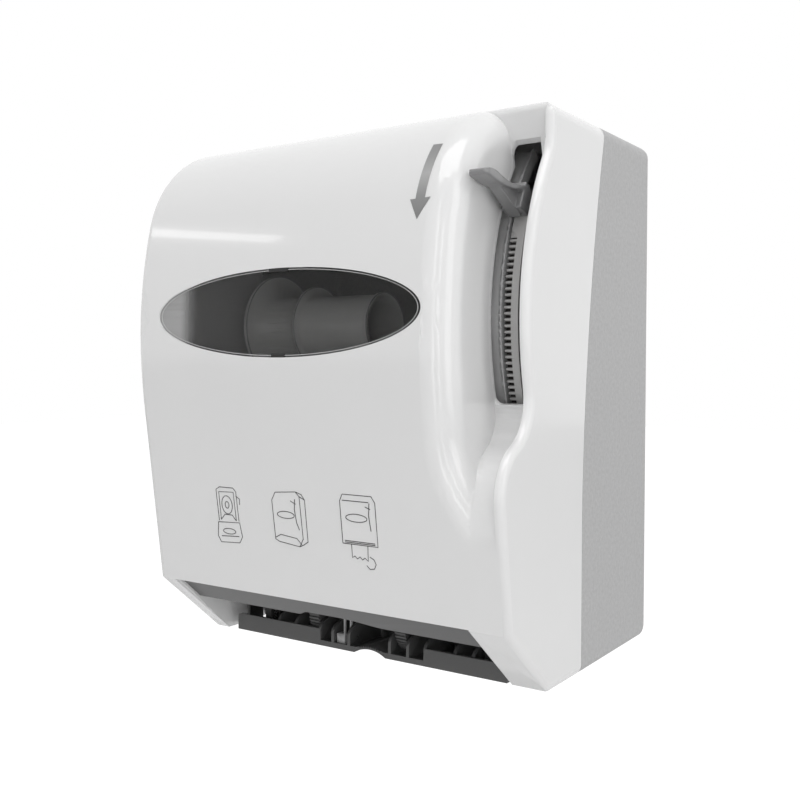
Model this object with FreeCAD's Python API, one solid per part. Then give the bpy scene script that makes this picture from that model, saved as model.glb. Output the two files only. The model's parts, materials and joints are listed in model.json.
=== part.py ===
import FreeCAD, Part
import math
import os
from FreeCAD import Vector

# Lever paper towel dispenser, wall mounted.
# X runs across the width, -Y points into the room and +Z up. Y = 0 is the wall.
# Sizes in millimetres. "forward" is the distance from the wall and "height" is
# measured up from the lower edge, so every side view is a (forward, height) pair.
# A size named "...Drop" is taken down from the top, and a place named "...Share"
# is a share of the mouth's width, counted from its left side.

# ---- overall form -----------------------------------------------------------
width = 300.0
bodyHeight = 375.0
bodyDepth = 243.0
wall = 2.6
mountHeight = 187.5          # middle of the wall screw pattern, the origin
topRound = 85.0              # brow where the top rolls into the front
frontRound = 350.0           # slow curve of the front face
widestDrop = 149.0           # down to the point furthest from the wall
frontLean = 7.2              # degrees that the lower front leans back
kneeHeight = 48.0            # where the front ends and the slanted cheeks start
underReach = 76.0            # from the furthest point back to the flat lower edge
backTopRound = 11.0
backLowRound = 9.0
leftRound = 8.5              # rounding along the left outer edge
rightRound = 5.0             # rounding along the right outer edge and the ridge
topRightRound = 12.0         # larger rounding along the top right edge

# ---- lever recess at the right ----------------------------------------------
pivotForward = 13.0          # lever axis, close to the wall
pivotDrop = 138.0
ridgeWidth = 6.3             # side wall to the right of the recess
recessWidth = 26.7
recessSoftEdge = 20.0        # large soft edge on the left of the recess
recessBendDrop = 208.0       # where the recess's left wall starts to swing out
recessFootDrop = 257.0       # where its soft edge ends
shoulderLap = 22.0           # how far the soft edge's solid goes on below its foot
floorSink = 52.0             # recess floor behind the furthest point of the front
floorLow = -17.6             # degrees, lower end of the floor
panelLean = 14.0             # degrees that the panel above the slot leans out
rimRound = 4.0
rimStart = 9.5               # degrees after which the brow turns into the panel
rampFootRound = 22.0
rampToeRound = 60.0
ridgeSink = 41.4             # front edge of the right side wall, behind the furthest point
ridgeLow = -13.0
ridgeFootRound = 30.0
ridgeToeRound = 35.0
ridgeNeckRound = 32.0
ridgeCrownRound = 10.0
ridgeCrownStart = 6.0        # degrees after which the brow turns into the ridge
ridgeInnerRound = 1.0
slotInset = (0.4, 5.0)       # from the recess's left and right walls to the slot
slotTop = 37.6
slotLow = -17.6
slotCorner = 5.0

# ---- parting between the case and the cover ---------------------------------
seamSink = 122.5             # straight lower part of the parting, behind the front
seamStraight = 110.0
seamMiddleBack = 9.5
seamMiddleDrop = 140.0
seamTopBack = 36.5
seamGap = 0.4
lipReach = 5.0
lipWall = 1.5
lipClearance = 0.35
hingeAhead = 7.0             # hinge axis in front of the parting
hingeHeight = 6.9
hingeRound = 6.5
hingePinRadius = 2.5
hingeEarRadius = 5.6
hingeEarWidth = 6.0
hingeEarInset = (7.0, 10.0)  # from the mouth's left and right sides
pinClearance = 0.05

# ---- mouth in the underside ---------------------------------------------------
mouthInset = (19.0, 28.0)    # from the left and right sides
cheekWall = 2.5
cheekHeight = 62.0
mouthGap = 0.6

# ---- window -------------------------------------------------------------------
windowInset = (18.0, 19.0)   # from the left side, and from the recess
windowDrop = 131.0
windowHalfHeight = 31.0
windowGap = 0.25
windowSink = 0.9
windowFlange = 4.5
windowThick = 1.8
clipWidth = 9.0
clipHeight = 2.4

# ---- wall fixing ----------------------------------------------------------------
screwSpacingZ = 240.0
screwPlateGap = 2.5          # between the right bosses and the drive plate
screwHoleRadius = 3.0
screwBossRadius = 8.0
screwBossHeight = 5.0

# ---- drive ----------------------------------------------------------------------
module = 1.25
toothHeight = 0.8            # addendum in modules
toothRoot = 1.15             # dedendum in modules
pressureAngle = 20.0
backlash = 0.16
pinionTeeth = 14
stepTeeth = 20
rollerTeeth = 36
idlerSlack = 2.0             # teeth by which the idler is larger than a straight train needs
idlerLeast = 36
sectorClearance = 10.5       # from the recess floor to the sector's pitch circle
pinionAngle = -34.0          # direction of the pinion from the lever axis
sectorToothTop = 17.5
sectorToothLow = -38.0
sectorTop = 29.0
sectorInset = 6.0            # from the recess's left wall to the teeth
toothWidth = 4.6
shroudWidth = 5.0
rimDepth = 9.0
webWidth = 3.0
hubWall = 5.0
spokeCount = 4
spokeSpread = 5.0            # degrees taken by each spoke
spokeInner = 42.0
gearSetBack = 14.5           # from the sector teeth to the step gear's left face
gearWidth = 8.0
gearSpace = 5.0
plateThick = 3.0
outerPlateGap = 1.6
outerPlateThick = 2.4
axleRadius = 2.5
spacerRadius = 5.0
spacerGap = 0.3
pivotRadius = 4.0
shaftClearance = 0.05

# ---- lever ----------------------------------------------------------------------
leverInset = (1.0, 6.1)      # from the slot's left and right edges
leverLow = 23.0
leverTop = 29.0
leverSetBack = 7.6           # lever root behind the recess floor
leverRootDepth = 9.6
leverReach = (57.5, 6.5)     # tip from the upper end of the root
leverThick = 3.4
leverWeb = 6.0
leverTipRound = 5.0

# ---- guide beside the teeth -------------------------------------------------------
guideGap = 2.0
guideWidth = 14.0
guideSetBack = 17.0          # inner side of the strip behind the recess floor
guideThick = 6.0
guideLip = 1.8
guideFoot = 3.0
guideLow = -20.5
guideTop = 43.0

# ---- plates -----------------------------------------------------------------------
plateLow = 20.0
plateShoulderDrop = 45.0
plateTopDrop = 9.0
plateTopForward = 60.0
plateWindowSet = (33.0, 9.0)  # plate cut-outs behind the guide strip, deep and near side
flangeReach = 12.0
flangeGap = 4.5              # between a wall boss and the plate's flange
screwEnd = 10.0              # frame screws from the ends of a flange
screwEdge = 6.0
footHeight = 12.0
outerPlateReach = (47.0, 25.0)  # foot plate below and above the lever axis
leftPlateInset = 1.8
leftPlateHigh = 110.0
leftFlange = (30.0, 105.0)

# ---- feed and exit ----------------------------------------------------------------
rollerSink = 83.0
rollerHeight = 52.0
rollerRadius = 16.0
rollerCoreRadius = 13.6
rollerEnds = (5.2, 4.5)      # from the side plates to the roller's ends
sleeveWidth = 38.0
sleeveCount = 4
sleeveEnds = (17.0, 1.0)
sleeveDepth = 1.2
shaftRadius = 3.0
bushRadius = 5.0
bushFlange = 2.5
pinchSetBack = 12.5          # pinch axle behind the feed roller's axis
pinchRadius = 17.0
pinchGap = 0.3
pinchWheelWidth = 9.0
pinchShares = (0.335, 0.643)
pinchPostShares = (0.119, 0.901)
postWidth = 6.0
postDepth = 13.0
axleDrop = 1.6               # clear space below the pinch axle in the frame
springSeat = 1.0
knurlCount = 40
knurlDepth = 1.1
exitGap = 0.5
exitDepth = 39.5
exitEndGap = 4.7             # between the left plate and the end of the front bar
exitRightGap = 4.0
exitWall = 2.5
exitNotch = 8.0
barHigh = 12.5
barLow = 4.0
barRound = 3.0
archShares = (0.49, 0.598)
archRise = 4.0
archSetBack = 12.0
ribShares = (0.204, 0.269, 0.362, 0.411, 0.470, 0.613, 0.674, 0.731, 0.825, 0.882)
lowBarRibs = (2, 7)          # ribs at the ends of the low bar, counted from the left
archRib = 4
ribThick = 2.4
ribEye = (9.5, 8.0)          # eye in the arch's rib, back from the front and up
ribEyeRadius = 1.4
slotSetBack = (13.0, 20.0)   # floor slots, back from the front face
finTop = 32.0
fingerShare = 0.433
fingerWidth = 7.0
fingerDepth = 7.0
fingerFoot = 8.0
fingerTop = 33.0
tineWidth = 1.2
tineReach = (4.6, 10.2)      # from the finger's left side
lipSink = (23.6, 44.0)       # upper and lower edge of the lip, behind the furthest point
lipHeights = (49.5, 31.5)
lipThick = 2.4
lipWaveShares = (0.39, 0.435, 0.53, 0.716)
lipRise = 3.4
bladeThick = 1.0
bladePitch = 5.0
bladeTooth = 2.6
bladeLow = 1.0
bladeHigh = 4.0
bladeEnd = 0.4

# ---- roll holder --------------------------------------------------------------------
rollSink = 123.0
rollDrop = 137.0
hubRadius = 24.0
hubSkin = 2.4
hubFlange = 42.0
armInset = 26.0
armThick = 3.0
armGap = 3.0
armHalfHeight = 20.0
armPivotForward = 9.0
armSlot = (34.0, 45.0)       # slot in the arm, its start and its length
armSlotHalf = 9.0
armPinRadius = 2.0
armKnuckle = 4.4
armLugThick = 6.0
armLugGap = (2.0, 7.0)       # below and above the arm
leftHubLength = 106.0
rightHubGap = 3.5
rightHubLength = 35.0
hubBoss = 18.0
hubRingSet = 40.0
hubRingRadius = 32.0
hubAxleRadius = 6.0
hubAxleReach = 21.0

# ---- lock -----------------------------------------------------------------------------
lockSetBack = 4.5            # lock axis behind the lower parting
lockRadius = 8.0
lockFlangeRadius = 10.5
lockFlangeDepth = 1.6
lockBodyLength = 20.0
lockPlugRadius = 5.5
camThick = 2.0
camInner = 20.5
camOuter = 25.0
camSpread = 18.0
keeperReach = 58.0           # from the keeper's back to the lock axis
keeperDepth = 14.0
keeperHalfWidth = 10.0
keeperDrop = 10.0
postRadius = 2.4
postReach = 17.0

# ---- places worked out from the sizes above ------------------------------------------------
pivot = (pivotForward, bodyHeight - pivotDrop)
widestHeight = bodyHeight - widestDrop
tipForward = bodyDepth - underReach
recessRight = width / 2 - ridgeWidth
recessLeft = recessRight - recessWidth
bodyJoin = recessLeft - recessSoftEdge - 5.0
floorRadius = bodyDepth - pivotForward - floorSink
ridgeRadius = bodyDepth - pivotForward - ridgeSink
slotLeft = recessLeft + slotInset[0]
slotRight = recessRight - slotInset[1]

seamForward = bodyDepth - seamSink
seamMiddle = (seamForward - seamMiddleBack, bodyHeight - seamMiddleDrop)
seamTop = (seamForward - seamTopBack, bodyHeight + 5.0)
hingeAxis = (seamForward + hingeAhead, hingeHeight)
mouthLeft = mouthInset[0] - width / 2
mouthRight = width / 2 - mouthInset[1]
hingeEarPlaces = (mouthLeft + hingeEarInset[0], mouthRight - hingeEarInset[1])

windowLeft = windowInset[0] - width / 2
windowRight = recessLeft - windowInset[1]
windowX = (windowLeft + windowRight) / 2
windowHalfWidth = (windowRight - windowLeft) / 2
windowHeight = bodyHeight - windowDrop
frontBack = bodyDepth - 60.0

sectorTeeth = round(2 * (floorRadius - sectorClearance) / module)
toothLeft = recessLeft + sectorInset
toothRight = toothLeft + toothWidth
shroudRight = toothRight + shroudWidth
gearLeft = toothLeft - gearSetBack
gearRight = gearLeft + gearWidth
innerPlateRight = gearLeft - gearSpace
innerPlateLeft = innerPlateRight - plateThick
outerPlateLeft = shroudRight + outerPlateGap
outerPlateRight = outerPlateLeft + outerPlateThick
leverHubRadius = pivotRadius + hubWall
hubLeft = toothLeft - 4.0
hubRight = outerPlateLeft - 0.6
gearSpacerLeft = innerPlateRight + spacerGap
leverLeft = slotLeft + leverInset[0]
leverRight = slotRight - leverInset[1]
leverMiddle = (leverLeft + leverRight) / 2
leverRootRadius = floorRadius - leverSetBack
guideRight = toothLeft - guideGap
guideLeft = guideRight - guideWidth
guideInner = floorRadius - guideSetBack
guideOuter = guideInner + guideThick

screwSpacingX = 2 * (innerPlateLeft - screwPlateGap - screwBossRadius)
lowBoss = mountHeight - screwSpacingZ / 2
highBoss = mountHeight + screwSpacingZ / 2
flangeLow = lowBoss + screwBossRadius + flangeGap
flangeHigh = highBoss - screwBossRadius - flangeGap
outerFoot = (pivot[1] - outerPlateReach[0], pivot[1] + outerPlateReach[1])
leftPlateLeft = mouthLeft + leftPlateInset
leftPlateRight = leftPlateLeft + plateThick

rollerAxis = (bodyDepth - rollerSink, rollerHeight)
rollerLeft = leftPlateRight + rollerEnds[0]
rollerRight = innerPlateLeft - rollerEnds[1]
sleeveSeat = rollerCoreRadius - sleeveDepth
exitFront = tipForward - exitGap
exitBack = exitFront - exitDepth
exitRight = mouthRight - exitRightGap
lipTop = (bodyDepth - lipSink[0], lipHeights[0])
lipLow = (bodyDepth - lipSink[1], lipHeights[1])

rollAxis = (bodyDepth - rollSink, bodyHeight - rollDrop)
armLeft = armInset - width / 2
armRight = armLeft + armThick
armPinX = armLeft + armThick / 2
armLugPlaces = (rollAxis[1] - armHalfHeight - armLugGap[0] - armLugThick,
                rollAxis[1] + armHalfHeight + armLugGap[1])
leftHub = (armRight + armGap, armRight + armGap + leftHubLength)
rightHub = (innerPlateLeft - rightHubGap - rightHubLength, innerPlateLeft - rightHubGap)
lockX = windowX
lockForward = seamForward - lockSetBack
keeperBack = lockForward - keeperReach
keeperPlate = bodyHeight - keeperDrop

parts = {}


def across(share):
    """The X place that lies at a share of the mouth's width from its left side."""
    return mouthLeft + share * (mouthRight - mouthLeft)


def spread(count, first, last):
    """As many evenly spaced places as count, from first to last."""
    return [first + index * (last - first) / (count - 1) for index in range(count)]


ribPlaces = [across(share) for share in ribShares]
pinchPlaces = [across(share) for share in pinchShares]
pinchPosts = [across(share) for share in pinchPostShares]
archLeft, archRight = [across(share) for share in archShares]
sleevePlaces = spread(sleeveCount, rollerLeft + sleeveEnds[0] + sleeveWidth / 2,
                      rollerRight - sleeveEnds[1] - sleeveWidth / 2)


def point(x, place):
    return Vector(x, -place[0], place[1] - mountHeight)


def polar(centre, radius, degrees):
    angle = math.radians(degrees)
    return (centre[0] + radius * math.cos(angle), centre[1] + radius * math.sin(angle))


def sideFace(x, start, steps):
    """A face in the plane X = x. A step is one corner, or an arc's middle and end."""
    edges = []
    here = point(x, start)
    for step in steps:
        if len(step) == 1:
            there = point(x, step[0])
            edges.append(Part.makeLine(here, there))
        else:
            there = point(x, step[1])
            edges.append(Part.Arc(here, point(x, step[0]), there).toShape())
        here = there
    if here.distanceToPoint(point(x, start)) > 1e-6:
        edges.append(Part.makeLine(here, point(x, start)))
    return Part.Face(Part.Wire(edges))


def prism(xLeft, xRight, start, steps, inset=0.0):
    face = sideFace(xLeft, start, steps)
    if inset:
        face = Part.Face(face.OuterWire.makeOffset2D(-inset, join=2))
    return face.extrude(Vector(xRight - xLeft, 0, 0))


def corners(*places):
    return places[0], [(place,) for place in places[1:]]


def block(xLeft, xRight, back, front, low, high):
    return Part.makeBox(xRight - xLeft, front - back, high - low, point(xLeft, (front, low)))


def rod(xLeft, xRight, place, radius):
    return Part.makeCylinder(radius, xRight - xLeft, point(xLeft, place), Vector(1, 0, 0))


def post(x, forward, low, high, radius):
    return Part.makeCylinder(radius, high - low, point(x, (forward, low)), Vector(0, 0, 1))


def ring(xLeft, xRight, place, outer, inner):
    return rod(xLeft, xRight, place, outer).cut(rod(xLeft - 1, xRight + 1, place, inner))


def sector(xLeft, xRight, centre, inner, outer, low, high):
    """Part of a ring about centre between two angles in the side view."""
    middle = (low + high) / 2
    start = polar(centre, inner, low)
    steps = [(polar(centre, outer, low),),
             (polar(centre, outer, middle), polar(centre, outer, high)),
             (polar(centre, inner, high),),
             (polar(centre, inner, middle), start)]
    return prism(xLeft, xRight, start, steps)


def fuse(*shapes):
    whole = shapes[0]
    for shape in shapes[1:]:
        whole = whole.fuse(shape)
    return whole.removeSplitter()


def roundEnd(solid, x, radius):
    """Round the outline of the flat end at X = x."""
    chosen = []
    for edge in solid.Edges:
        box = edge.BoundBox
        if abs(box.XMin - x) < 1e-4 and abs(box.XMax - x) < 1e-4:
            chosen.append(edge)
    return solid.makeFillet(radius, chosen)


# ---- outer form -----------------------------------------------------------------

def formPoints():
    """The tangent points of the side outlines, from the driving sizes."""
    low = (bodyDepth - frontRound, widestHeight)
    rise = bodyHeight - topRound - widestHeight
    browCentre = (low[0] + math.sqrt((frontRound - topRound) ** 2 - rise ** 2), bodyHeight - topRound)
    browEnd = math.degrees(math.atan2(rise, browCentre[0] - low[0]))
    leanStart = polar(low, frontRound, -frontLean)
    drop = leanStart[1] - kneeHeight
    knee = (leanStart[0] - drop * math.tan(math.radians(frontLean)), kneeHeight)
    return low, browCentre, browEnd, leanStart, knee


frontCentre, browCentre, browEnd, leanStart, knee = formPoints()


def backSteps():
    """From the back lower corner up and over to the start of the brow."""
    start = (0.0, backLowRound)
    topBend = polar((backTopRound, bodyHeight - backTopRound), backTopRound, 135)
    steps = [((0.0, bodyHeight - backTopRound),),
             (topBend, (backTopRound, bodyHeight)),
             ((browCentre[0], bodyHeight),)]
    return start, steps


def underSteps():
    """From the knee along the slanted cheek and the lower edge to the start."""
    lowBend = polar((backLowRound, backLowRound), backLowRound, 225)
    return [(knee,), ((tipForward, 0.0),), ((backLowRound, 0.0),), (lowBend, (0.0, backLowRound))]


def frontSteps():
    browMiddle = polar(browCentre, topRound, (90 + browEnd) / 2)
    frontMiddle = polar(frontCentre, frontRound, (browEnd - frontLean) / 2)
    return [(browMiddle, polar(browCentre, topRound, browEnd)),
            (frontMiddle, leanStart)]


def footAndToe(radius, lowAngle, footRound, toeRound):
    """Leave the arc about the lever axis and swing out to meet the lower front."""
    footCentre = polar(pivot, radius + footRound, lowAngle)
    down = math.radians(frontLean)
    along = (-math.sin(down), -math.cos(down))
    inward = (-math.cos(down), math.sin(down))
    base = (knee[0] + inward[0] * toeRound, knee[1] + inward[1] * toeRound)
    gap = (footCentre[0] - base[0], footCentre[1] - base[1])
    dot = gap[0] * along[0] + gap[1] * along[1]
    total = footRound + toeRound
    climb = -dot - math.sqrt(dot ** 2 - gap[0] ** 2 - gap[1] ** 2 + total ** 2)
    toeCentre = (base[0] - along[0] * climb, base[1] - along[1] * climb)
    turn = math.degrees(math.atan2(toeCentre[1] - footCentre[1], toeCentre[0] - footCentre[0])) % 360
    footMiddle = polar(footCentre, footRound, (180 + lowAngle + turn) / 2)
    toeMiddle = polar(toeCentre, toeRound, (turn - 180 - frontLean) / 2)
    return [(footMiddle, polar(footCentre, footRound, turn)),
            (toeMiddle, polar(toeCentre, toeRound, -frontLean))]


def crownSteps(start, round_, stop):
    """Turn off the brow after start degrees, on a small arc that ends facing stop degrees."""
    crownAngle = 90 - start
    centre = polar(browCentre, topRound - round_, crownAngle)
    end = polar(centre, round_, stop)
    steps = [(polar(browCentre, topRound, 90 - start / 2), polar(browCentre, topRound, crownAngle)),
             (polar(centre, round_, (crownAngle + stop) / 2), end)]
    return steps, end


def ridgeSteps():
    """The front edge of the right side wall: crown, neck, long arc, foot and toe."""
    steps, crownEnd = crownSteps(ridgeCrownStart, ridgeCrownRound, 0)
    reach = ridgeRadius + ridgeNeckRound
    aside = crownEnd[0] + ridgeNeckRound - pivot[0]
    neckCentre = (crownEnd[0] + ridgeNeckRound, pivot[1] + math.sqrt(reach ** 2 - aside ** 2))
    neckAngle = math.degrees(math.acos(aside / reach))
    steps += [((crownEnd[0], neckCentre[1]),),
              (polar(neckCentre, ridgeNeckRound, 180 + neckAngle / 2),
               polar(neckCentre, ridgeNeckRound, 180 + neckAngle)),
              (polar(pivot, ridgeRadius, (neckAngle + ridgeLow) / 2), polar(pivot, ridgeRadius, ridgeLow))]
    return steps + footAndToe(ridgeRadius, ridgeLow, ridgeFootRound, ridgeToeRound)


def recessSteps():
    """The panel above the slot, the floor about the lever axis and the ramp below."""
    steps, rim = crownSteps(rimStart, rimRound, -panelLean)
    lean = math.radians(panelLean)
    aside = (rim[0] - pivot[0], rim[1] - pivot[1])
    dot = aside[0] * math.sin(lean) + aside[1] * math.cos(lean)
    drop = dot - math.sqrt(dot ** 2 - aside[0] ** 2 - aside[1] ** 2 + floorRadius ** 2)
    meet = (rim[0] - drop * math.sin(lean), rim[1] - drop * math.cos(lean))
    floorTop = math.degrees(math.atan2(meet[1] - pivot[1], meet[0] - pivot[0]))
    steps += [(meet,), (polar(pivot, floorRadius, (floorTop + floorLow) / 2),
                        polar(pivot, floorRadius, floorLow))]
    return steps + footAndToe(floorRadius, floorLow, rampFootRound, rampToeRound)


def plainBody(inset):
    """The body as it would be without the lever recess."""
    start, steps = backSteps()
    half = width / 2 - inset
    solid = prism(-half, half, start, steps + frontSteps() + underSteps(), inset)
    solid = roundEnd(roundEnd(solid, -half, leftRound - inset), half, rightRound - inset)
    return solid.cut(topRightCorner(inset))


def topRightCorner(inset):
    """What the rounding along the top right edge takes off."""
    right = width / 2
    low = bodyHeight - topRightRound
    corner = block(right - topRightRound, right + 1.0, -1.0, bodyDepth, low, bodyHeight + 1.0)
    keep = Part.makeCylinder(topRightRound - inset, bodyDepth + 10.0,
                             point(right - topRightRound, (-5.0, low)), Vector(0, -1, 0))
    return corner.cut(keep)


def leftBody(inset):
    start, steps = backSteps()
    left = inset - width / 2
    solid = prism(left, bodyJoin, start, steps + frontSteps() + underSteps(), inset)
    return roundEnd(solid, left, leftRound - inset)


def rightWall():
    """The side wall right of the recess, whose front edge is the ridge."""
    start, steps = backSteps()
    solid = prism(recessRight, width / 2, start, steps + ridgeSteps() + underSteps())
    return roundEnd(roundEnd(solid, width / 2, rightRound), recessRight, ridgeInnerRound)


def recessBody(inset):
    """What lies behind the recess floor, and behind the ridge."""
    start, steps = backSteps()
    right = width / 2 - inset if inset else recessRight + ridgeInnerRound
    return prism(bodyJoin, right, start, steps + recessSteps() + underSteps(), inset)


def recessShoulder(inset):
    """The front face beside the recess. Its soft edge swings out and ends at the ramp's foot."""
    back = seamForward - 20.0
    start = (back, 0.0)
    steps = [((back, bodyHeight),), ((browCentre[0], bodyHeight),)]
    steps += frontSteps() + [(knee,), ((tipForward, 0.0),)]
    solid = prism(bodyJoin, width / 2 + recessSoftEdge, start, steps, inset)
    front = -bodyDepth - 10.0
    left = recessLeft - inset
    bend = bodyHeight - recessBendDrop - mountHeight
    foot = bodyHeight - recessFootDrop - mountHeight
    curve = Part.BezierCurve()
    curve.setPoles([Vector(left, front, bend), Vector(left, front, (bend + foot) / 2),
                    Vector(left + recessSoftEdge, front, foot)])
    run = 2 * recessSoftEdge / (bend - foot)
    low = foot - 2 * shoulderLap
    top = bodyHeight - mountHeight + 10.0
    far = width
    line = [Vector(left + recessSoftEdge, front, foot),
            Vector(left + recessSoftEdge + run * (foot - low), front, low),
            Vector(far, front, low), Vector(far, front, top), Vector(left, front, top),
            Vector(left, front, bend)]
    edges = [Part.makeLine(line[index], line[index + 1]) for index in range(len(line) - 1)]
    side = Part.Face(Part.Wire([curve.toShape()] + edges)).extrude(Vector(0, bodyDepth + 20.0, 0))
    solid = solid.cut(side)
    soft = []
    for edge in solid.Edges:
        middle = edge.valueAt((edge.FirstParameter + edge.LastParameter) / 2)
        onWall = middle.x > left - 0.01 and middle.z > low - 0.01
        outside = -middle.y > seamForward and middle.z > kneeHeight - mountHeight
        runsAcross = abs(edge.BoundBox.ZLength) < 0.01
        if onWall and outside and not runsAcross:
            soft.append(edge)
    solid = solid.makeFillet(recessSoftEdge - inset, soft)
    kept = block(bodyJoin, recessRight, -5.0, bodyDepth + 5.0, foot + mountHeight - shoulderLap, bodyHeight)
    return solid.common(kept)


def outerForm(inset):
    solid = fuse(leftBody(inset), recessBody(inset), recessShoulder(inset))
    if inset:
        return solid.common(plainBody(inset))
    return fuse(solid, rightWall()).cut(topRightCorner(inset))


def rearRegion(extra):
    """Everything behind the parting line, moved forward by extra."""
    face = sideFace(-width, (-20.0, -20.0),
                    [((seamForward, -20.0),), ((seamForward, seamStraight),),
                     (seamMiddle, seamTop), ((-20.0, seamTop[1]),)])
    if extra:
        face = Part.Face(face.OuterWire.makeOffset2D(extra, join=2))
    return face.extrude(Vector(2 * width, 0, 0))


def ellipsePrism(halfWidth, halfHeight, back, front):
    centre = point(windowX, (back, windowHeight))
    curve = Part.Ellipse(centre + Vector(halfWidth, 0, 0), centre + Vector(0, 0, halfHeight), centre)
    return Part.Face(Part.Wire([curve.toShape()])).extrude(Vector(0, back - front, 0))


# ---- cover and case ---------------------------------------------------------------

def frontShell(nearInset, farInset, halfWidth, halfHeight):
    """A patch of the front wall between two depths, inside an ellipse."""
    start, steps = backSteps()
    outline = steps + frontSteps() + underSteps()
    reach = windowX - halfWidth - 5.0, windowX + halfWidth + 5.0
    near = prism(reach[0], reach[1], start, outline, nearInset)
    far = prism(reach[0], reach[1], start, outline, farInset)
    return near.cut(far).common(ellipsePrism(halfWidth, halfHeight, frontBack, bodyDepth + 10.0))


def makeCover():
    cover = outerForm(0.0).cut(outerForm(wall)).cut(rearRegion(seamGap))
    mouth = block(mouthLeft, mouthRight, seamForward - 5.0, bodyDepth, -5.0, kneeHeight + 0.5)
    cover = cover.cut(mouth)
    start, steps = backSteps()
    cheekOutline = steps + ridgeSteps() + underSteps()
    region = block(-width, width, seamForward + seamGap, bodyDepth, -1.0, cheekHeight)
    for left in (mouthLeft - cheekWall, mouthRight):
        cheek = prism(left, left + cheekWall, start, cheekOutline, wall / 2).common(region)
        cover = cover.fuse(cheek)
        cover = cover.cut(rod(left - 1, left + cheekWall + 1, hingeAxis, hingePinRadius + pinClearance))
    lowRear = block(-width, width, seamForward - 2.0, hingeAxis[0], -5.0, hingeAxis[1])
    cover = cover.cut(lowRear.cut(rod(-width, width, hingeAxis, hingeRound)))
    slot = sector(slotLeft, slotRight, pivot, floorRadius - 15.0, floorRadius + 30.0, slotLow, slotTop)
    corner = [edge for edge in slot.Edges
              if edge.BoundBox.XLength < 1e-6 and abs(edge.BoundBox.XMin - slotLeft) < 1e-6
              and edge.Curve.TypeId == "Part::GeomLine"]
    cover = cover.cut(slot.makeFillet(slotCorner, corner))
    cover = cover.cut(ellipsePrism(windowHalfWidth, windowHalfHeight, frontBack, bodyDepth + 10.0))
    cover = cover.cut(clipPrisms(0.0))
    cover = cover.cut(post(lockX, lockForward, bodyHeight - lockBodyLength, bodyHeight + 1, lockRadius + 0.1))
    sink = post(lockX, lockForward, bodyHeight - lockFlangeDepth, bodyHeight + 1, lockFlangeRadius + 0.1)
    return cover.cut(sink).removeSplitter()


def clipPrisms(gap):
    """The notches for the window's upper and lower clip, or the clips with a gap around them."""
    clips = []
    for side in (-1, 1):
        near = windowHeight + side * (windowHalfHeight - 1.0)
        far = windowHeight + side * (windowHalfHeight + clipHeight - gap)
        low, high = sorted((near, far))
        clips.append(block(windowX - clipWidth / 2 + gap, windowX + clipWidth / 2 - gap, frontBack,
                           bodyDepth + 10.0, low, high))
    return Part.makeCompound(clips)


def frontBand(nearInset, farInset, halfWidth, halfHeight):
    """A band of the front wall between two depths, wide and tall enough for the window."""
    start, steps = backSteps()
    outline = steps + frontSteps() + underSteps()
    near = prism(windowX - halfWidth, windowX + halfWidth, start, outline, nearInset)
    far = prism(windowX - halfWidth - 1, windowX + halfWidth + 1, start, outline, farInset)
    region = block(windowX - halfWidth, windowX + halfWidth, frontBack, bodyDepth + 10.0,
                   windowHeight - halfHeight, windowHeight + halfHeight)
    return near.cut(far).common(region)


def makeWindow():
    pane = frontShell(windowSink, wall + windowThick, windowHalfWidth - windowGap, windowHalfHeight - windowGap)
    flange = frontShell(wall + 0.02, wall + windowThick, windowHalfWidth + windowFlange,
                        windowHalfHeight + windowFlange)
    clips = frontBand(windowSink, wall + windowThick, clipWidth, windowHalfHeight + windowFlange)
    besideRecess = block(-width, recessLeft - recessSoftEdge - windowGap, frontBack, width, 0.0, bodyHeight)
    return fuse(pane, flange.common(besideRecess), clips.common(clipPrisms(windowGap)))


def makeCase():
    shell = outerForm(0.0).cut(outerForm(wall)).common(rearRegion(0.0))
    lip = plainBody(wall + lipClearance).cut(plainBody(wall + lipClearance + lipWall))
    band = rearRegion(lipReach).cut(rearRegion(-lipReach))
    above = block(-width, width, -5.0, bodyDepth, hingeAxis[1] + 25.0, bodyHeight + 10)
    lip = lip.common(band).common(above)
    root = plainBody(wall - 0.1).cut(plainBody(wall + lipClearance + lipWall))
    root = root.common(rearRegion(-0.6).cut(rearRegion(-lipReach))).common(above)
    case = fuse(shell, lip, root)
    for side in (-1, 1):
        for level in (-1, 1):
            x = side * screwSpacingX / 2
            height = mountHeight + level * screwSpacingZ / 2
            boss = Part.makeCylinder(screwBossRadius, screwBossHeight, point(x, (wall, height)), Vector(0, -1, 0))
            hole = Part.makeCylinder(screwHoleRadius, 30.0, point(x, (-5.0, height)), Vector(0, -1, 0))
            case = case.fuse(boss).cut(hole)
    for left in hingeEarPlaces:
        right = left + hingeEarWidth
        arm = block(left, right, seamForward - 26.0, hingeAxis[0], hingeAxis[1] - hingeEarRadius,
                    hingeAxis[1] + hingeEarRadius)
        ear = arm.fuse(rod(left, right, hingeAxis, hingeEarRadius))
        case = case.fuse(ear.cut(rod(left - 1, right + 1, hingeAxis, hingePinRadius)))
    for low in armLugPlaces:
        lug = block(armPinX - 5.5, armPinX + 5.5, wall, armPivotForward + 5.0, low, low + armLugThick)
        case = case.fuse(lug).cut(post(armPinX, armPivotForward, low - 1, low + armLugThick + 1, armPinRadius))
    return case.removeSplitter()


def makeHingePins():
    left = rod(mouthLeft - cheekWall, hingeEarPlaces[0] + hingeEarWidth, hingeAxis, hingePinRadius)
    right = rod(hingeEarPlaces[1], mouthRight + cheekWall, hingeAxis, hingePinRadius)
    return Part.makeCompound([left, right])


# ---- lock -----------------------------------------------------------------------------

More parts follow.
